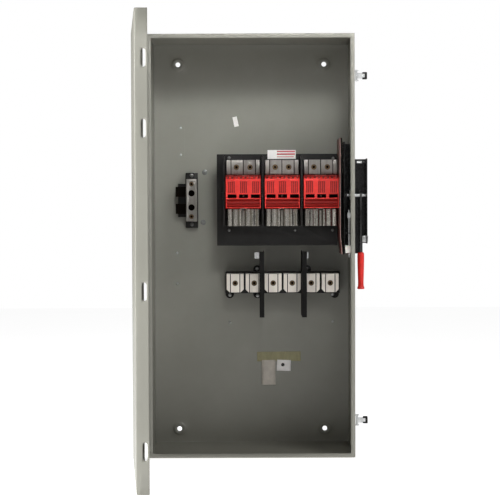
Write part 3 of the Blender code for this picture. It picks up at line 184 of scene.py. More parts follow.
def shaded(colour, share):
    """A colour made darker or lighter by a share, as the four numbers a node takes."""
    return (*[min(value * share, 1) for value in colour], 1)


def finish(name, light, dark, drift, grain, relief, gloss, metallic=0.0, stretch=(1, 1, 1),
           **own):
    """Material whose colour drifts and whose grain lifts the surface.

    light and dark are the two ends of the colour; drift and grain are the sizes in mm of the
    colour's patches and of the surface's grain; relief is the grain's height in mm; gloss is
    the lowest and highest roughness; stretch draws both patterns out along an axis.
    """
    material = bpy.data.materials.new(name)
    material.use_nodes = True
    tree = material.node_tree
    shader = tree.nodes["Principled BSDF"]
    place = add_node(tree, "TexCoord").outputs["Object"]
    run = add_node(tree, "Mapping", {"Vector": place, "Scale": stretch}).outputs["Vector"]
    patches = add_node(tree, "TexNoise", {
        "Vector": run, "Scale": 1 / (drift * MM), "Detail": 4.0, "Roughness": 0.62})
    spread = add_node(tree, "MapRange", {
        "Value": patches.outputs["Fac"], "From Min": 0.3, "From Max": 0.7})
    tint = add_node(tree, "Mix", {0: spread.outputs["Result"], 6: dark, 7: light},
                    data_type="RGBA")
    fine = add_node(tree, "TexNoise", {
        "Vector": run, "Scale": 1 / (grain * MM), "Detail": 2.0, "Roughness": 0.5})
    rough = add_node(tree, "MapRange", {
        "Value": fine.outputs["Fac"], "From Min": 0.25, "From Max": 0.75,
        "To Min": gloss[0], "To Max": gloss[1]})
    lift = add_node(tree, "Bump", {"Height": fine.outputs["Fac"], "Strength": 1.0,
                                   "Distance": relief * MM})
    tree.links.new(tint.outputs[2], shader.inputs["Base Color"])
    tree.links.new(rough.outputs["Result"], shader.inputs["Roughness"])
    tree.links.new(lift.outputs["Normal"], shader.inputs["Normal"])
    shader.inputs["Metallic"].default_value = metallic
    for socket, value in own.items():
        shader.inputs[socket.replace("_", " ")].default_value = value
    return material


def metal(name, code, drift, grain, gloss, relief=0.02, deep=0.8, stretch=(1, 1, 1)):
    """A bare or plated metal, given by the hex code of its brightest reflection."""
    bright = linear(code)
    return finish(name, shaded(bright, 1), shaded(bright, deep), drift, grain, relief, gloss,
                  metallic=1.0, stretch=stretch)


@functools.cache
def sprayed_enamel():
    """Grey baked enamel, sprayed on phosphated steel: a soft sheen with faint orange peel,
    and a slow drift in tone where the coat lies thicker."""
    tone = colours().enamel
    return finish("sprayed_grey_enamel", shaded(tone, 1.05), shaded(tone, 0.94), 160, 3.2, 0.05,
                  (0.36, 0.47), IOR=1.5)


@functools.cache
def moulded_phenolic():
    """Compression-moulded black phenolic: dull black, slightly brown, with a fine tooth."""
    tone = colours().moulding
    return finish("moulded_black_phenolic", shaded(tone, 1.25), shaded(tone, 0.8), 14, 1.1, 0.05,
                  (0.4, 0.58), IOR=1.5, Specular_IOR_Level=0.25)


@functools.cache
def black_powder_coat():
    """Gloss black powder coat on steel: near black, and smooth enough to mirror the grip."""
    tone = linear("0f0f0f")
    return finish("gloss_black_powder_coat", shaded(tone, 1.2), shaded(tone, 0.85), 60, 2.4,
                  0.03, (0.2, 0.32), IOR=1.5)


@functools.cache
def black_fibre_sheet():
    """Pressed black fibre sheet: matt, with short fibres drawn coarse enough to show."""
    tone = linear("0f0e0d")
    return finish("pressed_black_fibre", shaded(tone, 1.4), shaded(tone, 0.8), 9, 1.6, 0.06,
                  (0.55, 0.72), stretch=(1, 1, 0.35), Specular_IOR_Level=0.15)


@functools.cache
def red_fibre_sheet():
    """Varnished dark red fibre sheet: deep red-brown faces with faint streaks."""
    tone = colours().fibre
    return finish("varnished_red_fibre", shaded(tone, 1.15), shaded(tone, 0.75), 24, 1.6, 0.04,
                  (0.3, 0.45), stretch=(1, 1, 0.3))


@functools.cache
def sheared_fibre_edge():
    """Sheared edge of the fibre sheet: raw, pinkish and matt where the fibres are cut."""
    tone = linear("c09a94")
    return finish("sheared_fibre_edge", shaded(tone, 1.08), shaded(tone, 0.85), 6, 1.2, 0.08,
                  (0.6, 0.75))


@functools.cache
def shield_plastic():
    """Glass-filled red polyester moulding: strong red with a slight cloud and a low sheen."""
    tone = colours().shield
    return finish("moulded_red_polyester", shaded(tone, 1.06), shaded(tone, 0.86), 18, 1.4,
                  0.04, (0.38, 0.5), IOR=1.5)


@functools.cache
def shadowed_shield_plastic():
    """The same red moulding, a little rougher, painted darker as shade where ribs, grooves and teeth
    sink deep.
    """
    tone = colours().shield
    return finish("red_polyester_painted_shade", shaded(tone, 0.42), shaded(tone, 0.3), 10, 1.2, 0.06,
                  (0.55, 0.7), IOR=1.5)


@functools.cache
def grip_vinyl():
    """Dipped red vinyl grip: even saturated red with a soft shine."""
    tone = colours().grip
    return finish("dipped_red_vinyl", shaded(tone, 1.05), shaded(tone, 0.9), 30, 2.2, 0.04,
                  (0.28, 0.4), IOR=1.48)


@functools.cache
def tinned_aluminium():
    """Tin-plated extruded aluminium: pale warm metal with fine lines along the extrusion."""
    return metal("tin_plated_aluminium", "efe8de", 16, 1.5, (0.36, 0.52), 0.05, 0.82,
                 stretch=(1, 1, 0.2))


@functools.cache
def shaded_tinned_aluminium():
    """The same plating, a little duller, and painted darker to stand in for shade on the line lugs.
    """
    return metal("tin_plate_painted_shade", "918d88", 14, 1.6, (0.38, 0.55), 0.06, 0.66,
                 stretch=(1, 1, 0.2))


@functools.cache
def silvered_copper():
    """Silver-plated spring copper, rolled bright: sharp lights and darks along the leaf."""
    return metal("silver_plated_copper", "c9c4bb", 12, 2.4, (0.2, 0.3), 0.004, 0.72,
                 stretch=(1, 1, 0.03))


@functools.cache
def zinc_plate():
    """Bright zinc-plated steel: cool grey, with the light clouding of the bath."""
    return metal("bright_zinc_plate", "cfd0d0", 10, 1.3, (0.24, 0.4), 0.02, 0.78)


@functools.cache
def dulled_zinc():
    """Zinc-plated screw heads gone grey: the same plate with a darker, softer reflection."""
    return metal("dulled_zinc_plate", "8b8b8a", 6, 1.0, (0.4, 0.55), 0.03, 0.7)


@functools.cache
def oiled_spring_steel():
    """Oiled spring wire: dark grey metal with a thin bright line along each turn."""
    return metal("oiled_spring_steel", "6f6e6c", 6, 1.0, (0.25, 0.4), 0.02, 0.7)


@functools.cache
def bronzed_screw():
    """Brown chromated steel of the wire-binding screws: dark warm metal, a little greasy."""
    return metal("brown_chromated_steel", "6b5842", 5, 0.9, (0.32, 0.5), 0.03, 0.6)


@functools.cache
def hollow_shade():
    """Inside of a socket, bore or groove: painted near black as shade, so that it returns almost no
    light.
    """
    return metal("painted_shade_hollow", "15110e", 4, 0.8, (0.6, 0.75), 0.03, 0.6)


@functools.cache
def cast_nylon():
    """Machined white nylon block: milky, slightly waxy and softly lit from within."""
    tone = linear("e2dfd8")
    return finish("machined_white_nylon", shaded(tone, 1.04), shaded(tone, 0.9), 12, 1.4, 0.04,
                  (0.4, 0.52), IOR=1.53, Subsurface_Weight=0.12, Subsurface_Scale=0.004)


@functools.cache
def coated_card():
    """Clay-coated white card: bright and even, with the faint tooth of paper."""
    tone = colours().card
    return finish("coated_white_card", shaded(tone, 1.04), shaded(tone, 0.93), 20, 1.0, 0.02,
                  (0.4, 0.5))


@functools.cache
def printed_red():
    """Red printing ink on card: flat ink that is a little uneven over the paper's tooth."""
    tone = colours().bars
    return finish("red_printing_ink", shaded(tone, 1.12), shaded(tone, 0.85), 8, 0.8, 0.01,
                  (0.42, 0.52))


@functools.cache
def slip_paper():
    """Thin uncoated paper: greyish white with soft clouds from handling."""
    tone = colours().paper
    return finish("uncoated_paper", shaded(tone, 1.08), shaded(tone, 0.88), 14, 1.2, 0.05,
                  (0.7, 0.85))


@functools.cache
def masking_tape():
    """Creped masking tape: yellow-grey, with fine upright creases drawn coarse to show."""
    tone = colours().tape
    return finish("creped_masking_tape", shaded(tone, 1.1), shaded(tone, 0.86), 10, 1.8, 0.09,
                  (0.55, 0.7), stretch=(1, 1, 0.25))


@functools.cache
def black_ink():
    """Black ink spot: dense, with a trace of sheen."""
    tone = linear("211e1d")
    return finish("black_ink", shaded(tone, 1.2), shaded(tone, 0.8), 6, 0.8, 0.01, (0.4, 0.5))


@functools.cache
def studio_floor():
    """Pale seamless paper under the object: nearly white, with the faintest cloud. It glows, so
    that it stays white far from the lights."""
    tone = linear("f4f4f4")
    return finish("seamless_floor_paper", shaded(tone, 1.0), shaded(tone, 0.985), 300, 5, 0.05,
                  (0.85, 0.95), Emission_Color=(1, 1, 1, 1), Emission_Strength=0.8)


# ---------------------------------------------------------------- meshes

def new_piece(name, points, faces, materials, body, smooth=35, close=True, index=None):
    """Makes a piece from arrays of points and faces, and lets it ride on a body.

    smooth is the angle in degrees up to which neighbouring faces shade as one; close turns
    the faces outward; index gives the material number of each face.
    """
    mesh = bpy.data.meshes.new(name)
    mesh.from_pydata(np.asarray(points, float).reshape(-1, 3).tolist(), [], faces)
    for material in materials:
        mesh.materials.append(material)
    if index is not None:
        mesh.polygons.foreach_set("material_index", np.asarray(index, np.int32))
    edit = bmesh.new()
    edit.from_mesh(mesh)
    bmesh.ops.remove_doubles(edit, verts=edit.verts, dist=2e-6)
    bmesh.ops.dissolve_degenerate(edit, edges=edit.edges, dist=1e-6)
    if close:
        bmesh.ops.recalc_face_normals(edit, faces=edit.faces)
    edit.to_mesh(mesh)
    edit.free()
    return show(name, mesh, body, smooth)


def show(name, mesh, body, smooth):
    """Puts a mesh in the scene, shaded smooth up to an angle, as a piece of a body."""
    mesh.polygons.foreach_set("use_smooth", np.ones(len(mesh.polygons), bool))
    mesh.set_sharp_from_angle(angle=math.radians(smooth))
    piece = bpy.data.objects.new(name, mesh)
    bpy.context.scene.collection.objects.link(piece)
    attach(piece, body)
    return piece


def thicken(piece, depth, rim=0):
    """Gives a sheet its thickness, away from the side that its faces point to."""
    solid = piece.modifiers.new("wall", "SOLIDIFY")
    solid.thickness = depth
    solid.offset = -1
    solid.use_even_offset = True
    solid.material_offset_rim = rim
    return piece


def round_edges(piece, width, segments=2, angle=35, harden=True):
    """Breaks every edge sharper than an angle with a small radius that catches the light."""
    edge = piece.modifiers.new("edges", "BEVEL")
    edge.width = width
    edge.segments = segments
    edge.limit_method = "ANGLE"
    edge.angle_limit = math.radians(angle)
    edge.harden_normals = harden
    return piece


def inner_faces(mesh, low, high):
    """1 for each face of a bore or groove, which lies inside the box of its piece, else 0."""
    centre = np.empty(len(mesh.polygons) * 3)
    mesh.polygons.foreach_get("center", centre)
    centre = centre.reshape(-1, 3)
    margin = 1 * MM
    inside = (centre > low + margin) & (centre < high - margin)
    return inside.all(axis=1).astype(np.int32)


def softened(node, material, width, segments=2, hollow=None):
    """A copy of a node with its flat faces merged and its edges rounded, in place of it.

    hollow is the material of its bores and grooves, painted near black as shade, if they have their
    own.
    """
    source = frame["nodes"][node]
    mesh = source.data.copy()
    mesh.materials.clear()
    mesh.materials.append(material)
    edit = bmesh.new()
    edit.from_mesh(mesh)
    bmesh.ops.remove_doubles(edit, verts=edit.verts, dist=5e-6)
    bmesh.ops.dissolve_limit(edit, angle_limit=math.radians(1), verts=edit.verts,
                             edges=edit.edges)
    edit.to_mesh(mesh)
    edit.free()
    mesh.name = node + "_finished"
    if hollow:
        mesh.materials.append(hollow)
        mesh.polygons.foreach_set("material_index", inner_faces(mesh, *node_box(node)))
    piece = show(node + "_finished", mesh, source["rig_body"], 35)
    round_edges(piece, width, segments)
    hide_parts(node)
    return piece


def refinish(node, material):
    """Gives a node, kept as it is, its finish."""
    piece = frame["nodes"][node]
    piece.data.materials.clear()
    piece.data.materials.append(material)


def grid_faces(rows, columns, wrap=False):
    """Quads of a grid of points stored row by row; wrap joins the last column to the first."""
    index = np.arange(rows * columns).reshape(rows, columns)
    if wrap:
        index = np.concatenate([index, index[:, :1]], axis=1)
    quads = np.stack([index[:-1, :-1], index[:-1, 1:], index[1:, 1:], index[1:, :-1]], -1)
    return quads.reshape(-1, 4)


def join(parts):
    """Joins (points, faces) pairs into one pair."""
    points, faces, start = [], [], 0
    for some, quads in parts:
        some = np.asarray(some, float).reshape(-1, 3)
        points.append(some)
        faces += [[start + corner for corner in face] for face in np.asarray(quads).tolist()]
        start += len(some)
    return np.concatenate(points), faces


def frame_of(axis):
    """Two directions across an axis, and the axis, as rows; they form a right-handed set."""
    along = np.array(axis, float)
    along /= np.linalg.norm(along)
    helper = np.array((0, 0, 1.0)) if abs(along[2]) < 0.9 else np.array((1.0, 0, 0))
    across = np.cross(helper, along)
    across /= np.linalg.norm(across)
    return np.array([across, np.cross(along, across), along])


def hexagon(angle):
    """Radius of a hexagon of unit inscribed circle, at each angle."""
    third = math.pi / 3
    return 1 / np.cos((angle + third / 2) % third - third / 2)


def lathe(centres, axis, rings, sides=24, socket=()):
    """Turned shapes about parallel axes: each ring is (radius, height along the axis).

    The first and last rings are closed by a fan of quads drawn to a point. Rings whose
    numbers are in socket take the outline of a hexagon.
    """
    point = 1e-7
    angle = np.arange(sides) * 2 * math.pi / sides
    rings = np.array(rings, float)
    radius = np.repeat(rings[:, :1], sides, axis=1)
    for ring in socket:
        radius[ring] *= hexagon(angle)
    ends = np.full((1, sides), point)
    radius = np.concatenate([ends, radius, ends])
    height = np.concatenate([rings[:1, 1], rings[:, 1], rings[-1:, 1]])
    basis = frame_of(axis)
    shape = (radius[..., None] * np.cos(angle)[None, :, None] * basis[0]
             + radius[..., None] * np.sin(angle)[None, :, None] * basis[1]
             + height[:, None, None] * basis[2])
    quads = grid_faces(len(height), sides, wrap=True)
    return [(shape + np.array(centre), quads) for centre in np.atleast_2d(centres)]


def turned_group(name, centres, axis, rings, materials, body, sides=24, socket=(),
                 inner_from=None):
    """One piece of several like turned shapes, such as a row of screws.

    Faces from ring number inner_from on take the second material.
    """
    shapes = lathe(centres, axis, rings, sides, socket)
    points, faces = join(shapes)
    index = None
    if inner_from is not None:
        one = np.repeat(np.arange(len(rings) + 1) >= inner_from, sides).astype(int)
        index = np.tile(one, len(shapes))
    return new_piece(name, points, faces, materials, body, smooth=40, index=index)


def socket_screw(radius, proud, depth, key):
    """Rings of a socket screw from its hidden end, round its chamfer and into its socket."""
    return [(radius, depth), (radius, -proud + 0.8 * MM), (radius - 0.8 * MM, -proud),
            (key + 0.3 * MM, -proud), (key, -proud + 0.4 * MM), (key, -proud + 4 * MM)]


def dome(radius, height):
    """Rings of a domed head, 0.5 mm sunk in its face: nearly a quarter circle in five steps."""
    steps = np.linspace(0, math.pi / 2 * 0.94, 6)
    return [(radius, 0.5 * MM)] + [(radius * math.cos(s), -height * math.sin(s)) for s in steps]


def binding_screws(name, centres, rings):
    """Wire-binding socket screws that face the front, their sockets painted near black as shade."""
    turned_group(name, centres, TO_BACK, rings, [bronzed_screw(), hollow_shade()], "enclosure",
                 socket=(4, 5), inner_from=4)


def plated_heads(name, centres, rings, material):
    """Screw heads, studs or rivets of one plating that face the front."""
    turned_group(name, centres, TO_BACK, rings, [material], "enclosure")


def folded_sheet(u_lines, v_lines, holes, place):
    """A sheet cut on a flat grid, with round-ended holes, and then folded by place(u, v, lift).

    Each hole is (u, v, half size of its block of cells, half straight length along u, radius,
    dimple). A point p on the block's border goes in to the hole's rim at q + r (p - q) / |p - q|,
    where q is the nearest point of the hole's middle line. A dimple is (outer radius, height).
    """
    u_lines, v_lines = np.array(u_lines), np.array(v_lines)
    quads = grid_faces(len(v_lines), len(u_lines))
    keep = np.ones((len(v_lines) - 1, len(u_lines) - 1), bool)
    parts = []
    for u, v, half, straight, radius, dimple in holes:
        first, last = (int(np.abs(u_lines - (u + way * half[0])).argmin()) for way in (-1, 1))
        low, high = (int(np.abs(v_lines - (v + way * half[1])).argmin()) for way in (-1, 1))
        keep[low:high, first:last] = False
        across, up = u_lines[first:last + 1], v_lines[low:high + 1]
        edge = np.concatenate([
            np.stack([across[:-1], np.full(len(across) - 1, up[0])], 1),
            np.stack([np.full(len(up) - 1, across[-1]), up[:-1]], 1),
            np.stack([across[:0:-1], np.full(len(across) - 1, up[-1])], 1),
            np.stack([np.full(len(up) - 1, across[0]), up[:0:-1]], 1)])
        line = np.stack([u + np.clip(edge[:, 0] - u, -straight, straight),
                         np.full(len(edge), v)], 1)
        away = (edge - line) / np.linalg.norm(edge - line, axis=1, keepdims=True)
        rim = line + radius * away
        if dimple:
            outer = line + dimple[0] * away
            rings = [edge, outer] + [outer + (rim - outer) * r for r in (0.12, 0.25, 0.4, 0.5, 1)]
            lifts = np.array([0, 0, 0.2, 0.6, 0.93, 1, 1]) * dimple[1]
        else:
            rings, lifts = [edge, rim], np.zeros(2)
        rings = np.stack(rings)
        sunk = np.repeat(lifts[:, None], len(edge), axis=1)
        parts.append((place(rings[..., 0], rings[..., 1], sunk),
                      grid_faces(len(rings), len(edge), wrap=True)[:, ::-1]))
    u_grid, v_grid = np.meshgrid(u_lines, v_lines)
    parts.append((place(u_grid, v_grid, np.zeros(u_grid.shape)), quads[keep.ravel()]))
    return parts


def block_lines(low, high, centres, half, cells=6):
    """Grid lines from low to high, with a block of cells about each centre."""
    inner = [centre + half * step for centre in centres for step in np.linspace(-1, 1, cells + 1)]
    return np.unique(np.round([low, high] + inner, 6))


def bend(start, corner, end, radius):
    """Points of a profile from start, round a square corner in four steps, towards end."""
    start, corner, end = (np.array(p, float) for p in (start, corner, end))
    come = (start - corner) / np.linalg.norm(start - corner)
    leave = (end - corner) / np.linalg.norm(end - corner)
    turn = np.linspace(0, math.pi / 2, 5)[:, None]
    centre = corner + radius * (come + leave)
    return [start, *(centre - radius * leave * np.cos(turn) - radius * come * np.sin(turn))]


def folded_walls(half, profile, lines, holes):
    """Four walls that follow one profile of (inset, depth) round a rectangle, mitred.

    half is (half width, half height); lines gives the grid along the width and the height;
    holes holds the right wall's, as (height, depth, ...).
    """
    profile = np.array(profile)
    run = np.concatenate([[0], np.cumsum(np.linalg.norm(np.diff(profile, axis=0), axis=1))])
    flat = int(np.argmax(np.diff(run) * (np.diff(profile[:, 0]) == 0)))
    parts = []
    for out, along, reach, far, own in (((1, 0, 0), (0, 0, 1), half[1], half[0], holes),
                                        ((-1, 0, 0), (0, 0, 1), half[1], half[0], ()),
                                        ((0, 0, 1), (1, 0, 0), half[0], half[1], ()),
                                        ((0, 0, -1), (1, 0, 0), half[0], half[1], ())):
        def place(u, v, sunk, out=out, along=along, reach=reach, far=far):
            inset, depth = np.interp(v, run, profile[:, 0]), np.interp(v, run, profile[:, 1])
            side = np.clip(u, inset - reach, reach - inset)
            return ((far - inset)[..., None] * np.array(out) + side[..., None] * np.array(along)
                    + depth[..., None] * np.array((0, 1, 0)))

        u_lines = lines[1] if along[2] else lines[0]
        way = np.sign(profile[flat + 1, 1] - profile[flat, 1])
        holes_here = [(z, run[flat] + way * (y - profile[flat, 1]), *rest) for z, y, *rest in own]
        v_lines = run
        for _, v, block, *_ in holes_here:
            v_lines = np.concatenate([v_lines, v + block[1] * np.linspace(-1, 1, 7)])
        parts += folded_sheet(u_lines, np.unique(np.round(v_lines, 7)), holes_here, place)
    return parts


def slab(low, high):
    """Points and faces of a plain block."""
    corner = np.array([[x, y, z] for x in (0, 1) for y in (0, 1) for z in (0, 1)])
    low, high = np.array(low, float), np.array(high, float)
    faces = np.array([[0, 1, 3, 2], [4, 6, 7, 5], [0, 4, 5, 1], [2, 3, 7, 6], [0, 2, 6, 4],
                      [1, 5, 7, 3]])
    return low + corner * (high - low), faces


def bent_strip(path, thickness, low, high):
    """A strip of sheet standing on edge: a plan path carried up, with its thickness.

    The far side is each point plus the path's left-hand normal times the thickness.
    """
    path = np.array(path, float)
    run = np.gradient(path, axis=0)
    run /= np.linalg.norm(run, axis=1, keepdims=True)
    back = path + np.stack([-run[:, 1], run[:, 0]], 1) * thickness
    rows = [np.column_stack([side, np.full(len(path), z)])
            for side, z in ((path, low), (path, high), (back, high), (back, low))]
    count = len(path)
    body = grid_faces(count, 4, wrap=True)
    points = np.stack(rows, axis=1).reshape(-1, 3)
    last = (count - 1) * 4
    caps = np.array([[0, 1, 2, 3], [last + 3, last + 2, last + 1, last]])
    return points, np.concatenate([body, caps])


# ---------------------------------------------------------------- box and door

LIP = 13 * MM                           # rim lip, in from the box's sides
HANGING_HOLE = 7.5 * MM                 # radius of the four holes in the back wall
HANGING_SIDE, HANGING_TOP, HANGING_FOOT = 77 * MM, 63 * MM, 44 * MM  # in from the box's sides
DIMPLE_HEIGHT = 4 * MM
DIMPLE_BLOCK = 32 * MM                  # half size of the block of cells that holds a dimple
BUSHING_HOLE, BUSHING_BLOCK = 9.3 * MM, 16 * MM
DOOR_OVERLAP = 5 * MM                   # door past the rim, in front and on the right
FLANGE_GAP = 5.5 * MM                   # door flange's edge, in front of the hinge axis
SLOT_HEIGHTS = (320 * MM, -102 * MM)    # door slots besides those at the two latches
SLOT_DEPTH = 23 * MM                    # middle of a slot, behind the door's face
SLOT_STRAIGHT, SLOT_RADIUS = 17.4 * MM, 6.3 * MM
SLOT_BLOCK = (28 * MM, 9 * MM)
OPEN_TURN = -85                         # degrees from shut to the resting pose


def build_enclosure():
    """Folded steel box: lip, rim fold, wall, back fold, and a back with dimples."""
    size = sizes()
    half = (BOX_HIGH[0], BOX_HIGH[2])
    front, back = BOX_LOW[1], BOX_HIGH[1]
    bushing = middle_of("shaft_bushing")
    profile = (bend((LIP, front), (0, front), (0, back), size.fold)
               + bend((0, front + size.fold), (0, back), (half[0], back), size.fold)[1:])
    side, rows = half[0] - HANGING_SIDE, (half[1] - HANGING_TOP, HANGING_FOOT - half[1])
    across = block_lines(-half[0], half[0], (-side, side), DIMPLE_BLOCK)
    up = block_lines(-half[1], half[1], rows, DIMPLE_BLOCK)
    up = np.unique(np.concatenate([up, bushing[2] + BUSHING_BLOCK * np.linspace(-1, 1, 7)]))
    hole = (bushing[2], bushing[1], (BUSHING_BLOCK, BUSHING_BLOCK), 0, BUSHING_HOLE, None)
    parts = folded_walls(half, profile, (across, up), [hole])

    def back_place(u, v, sunk):
        edge = size.fold
        return np.stack([np.clip(u, edge - half[0], half[0] - edge), back - sunk,
                         np.clip(v, edge - half[1], half[1] - edge)], -1)

    dimples = [(x, z, (DIMPLE_BLOCK, DIMPLE_BLOCK), 0, HANGING_HOLE,
                (size.dimple, DIMPLE_HEIGHT)) for z in rows for x in (-side, side)]
    parts += folded_sheet(across, up, dimples, back_place)
    shape, faces = join(parts)
    piece = new_piece("enclosure_shell", shape, faces, [sprayed_enamel()], "enclosure",
                      smooth=50)
    round_edges(piece, size.corner, 3, angle=60, harden=False)
    thicken(piece, SHEET)
    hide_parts("enclosure_box")


def hinge_turn(points, degrees):
    """Points turned about the door's upright hinge axis."""
    pin = middle_of("upper_hinge_pin")
    c, s = math.cos(math.radians(degrees)), math.sin(math.radians(degrees))
    x, y = points[..., 0] - pin[0], points[..., 1] - pin[1]
    return np.stack([pin[0] + c * x - s * y, pin[1] + s * x + c * y, points[..., 2]], -1)


def build_door():
    """Pan door: four flanges folded back from a flat panel, one with latch slots, turned open."""
    size = sizes()
    pin = middle_of("upper_hinge_pin")
    left, right = pin[0], BOX_HIGH[0] + DOOR_OVERLAP
    face, edge = BOX_LOW[1] - DOOR_OVERLAP, pin[1] - FLANGE_GAP
    half = ((right - left) / 2, node_box("door")[1][2])
    shift = (right + left) / 2
    heights = [middle_of(f"{storey}_latch_lever")[2] for storey in STOREYS]
    heights += SLOT_HEIGHTS
    profile = bend((0, edge), (0, face), (half[0], face), size.fold)
    up = block_lines(-half[1], half[1], heights, SLOT_BLOCK[0], cells=8)
    across = np.linspace(-half[0], half[0], 9)
    slots = [(z, face + SLOT_DEPTH, SLOT_BLOCK, SLOT_STRAIGHT, SLOT_RADIUS, None)
             for z in heights]
    parts = folded_walls(half, profile, (across, up), slots)

    def panel_place(u, v, sunk):
        fold = size.fold
        return np.stack([np.clip(u, fold - half[0], half[0] - fold), np.full(u.shape, face),
                         np.clip(v, fold - half[1], half[1] - fold)], -1)

    parts += folded_sheet(across, up, (), panel_place)
    shape, faces = join(parts)
    shape[:, 0] += shift
    piece = new_piece("door_pan", hinge_turn(shape, OPEN_TURN), faces, [sprayed_enamel()], "door",
                      smooth=50)
    round_edges(piece, size.corner, 3, angle=60, harden=False)
    thicken(piece, SHEET)
    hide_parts("door")
    softened("door_interlock_catch", zinc_plate(), 0.4 * MM)


def build_hardware():
    """Hinges and draw latches in bright zinc, with black knobs on the levers."""
    for storey in STOREYS:
        for part in ("hinge_box_leaf", "hinge_door_leaf", "hinge_pin", "latch_bracket",
                     "latch_lever"):
            softened(f"{storey}_{part}", zinc_plate(), 0.35 * MM)
        softened(f"{storey}_latch_knob", moulded_phenolic(), 1.6 * MM, 3)


# ---------------------------------------------------------------- switch

# Face of an arc shield, in mm: across from its middle and up from its foot
GROOVES = tuple(group + 5.6 * step for group in (-35, 1, 37) for step in (-1.5, -0.5, 0.5, 1.5))
GROOVE_HALF = (1.45, 1.75)              # half widths of a groove, at its floor and its mouth
GROOVE_HEIGHTS = (45.4, 46.2, 79.4, 80.6)
RIB_HALF = 49.5                         # half width of the ribs
RIB_HEIGHTS = (0, 2.4, 3.4, 9.2, 10.2, 11, 19.6, 20.4, 21.4, 27.4, 28.2, 99)
RIB_DEPTHS = (0, 0, 0.9, 0.25, 0, 1, 0.25, 0, 1, 0.2, 0, 0)         # shares of the louvre depth
WINDOWS = ((-47, -20), (-12.5, 14.5), (23, 50))
WINDOW_HEIGHTS = (30.5, 41.5)
TOOTH_PITCH, TOOTH_HALF = 13, 3.4
TOOTH_SLOPE = ((88, 99), (0, 11))       # heights and depths of a tooth
BAND_SLOPE = ((87.7, 88.2, 90, 99), (0, 3, 14, 17))                 # and between two teeth
FINE_HEIGHTS = (15, 25, 50, 60, 70, 93, 96)                         # rows only for fineness
JAW_OPENING, BLADE_OPENING = 22, 14     # half widths, in the top and foot walls
CROSSBAR_OPENING = (25, 50)             # heights, in the side walls
CROSSBAR_ROOM = 12 * MM                 # from the crossbar's axis forward to that opening
JAW_FRONT = -146 * MM                   # where the top wall's opening begins


def shield_front(u, v, size):
    """Depth of an arc shield's face, into the shield, at (across, up) from its foot's middle.

    Upright grooves stand in three groups. Below the windows three ribs each lean back as they
    go down. Above, the top band drops back between teeth that slope to the top edge.
    """
    ribs = np.interp(v, RIB_HEIGHTS, RIB_DEPTHS) * size.louvre / MM
    depth = groove_share(u)
    grooves = depth * np.interp(v, GROOVE_HEIGHTS, [0, 1, 1, 0]) * size.groove / MM
    tooth = np.abs((u + TOOTH_PITCH / 2) % TOOTH_PITCH - TOOTH_PITCH / 2) < TOOTH_HALF
    top = np.where(tooth, np.interp(v, *TOOTH_SLOPE), np.interp(v, *BAND_SLOPE))
    return (ribs * (np.abs(u) < RIB_HALF) + grooves + top) * MM


def groove_share(u):
    """1 inside an upright groove and 0 outside, for three groups of four grooves."""
    middle = np.array(GROOVES)
    offset = np.min(np.abs(np.asarray(u)[..., None] - middle), axis=-1)
    return np.interp(offset, GROOVE_HALF, [1, 0])


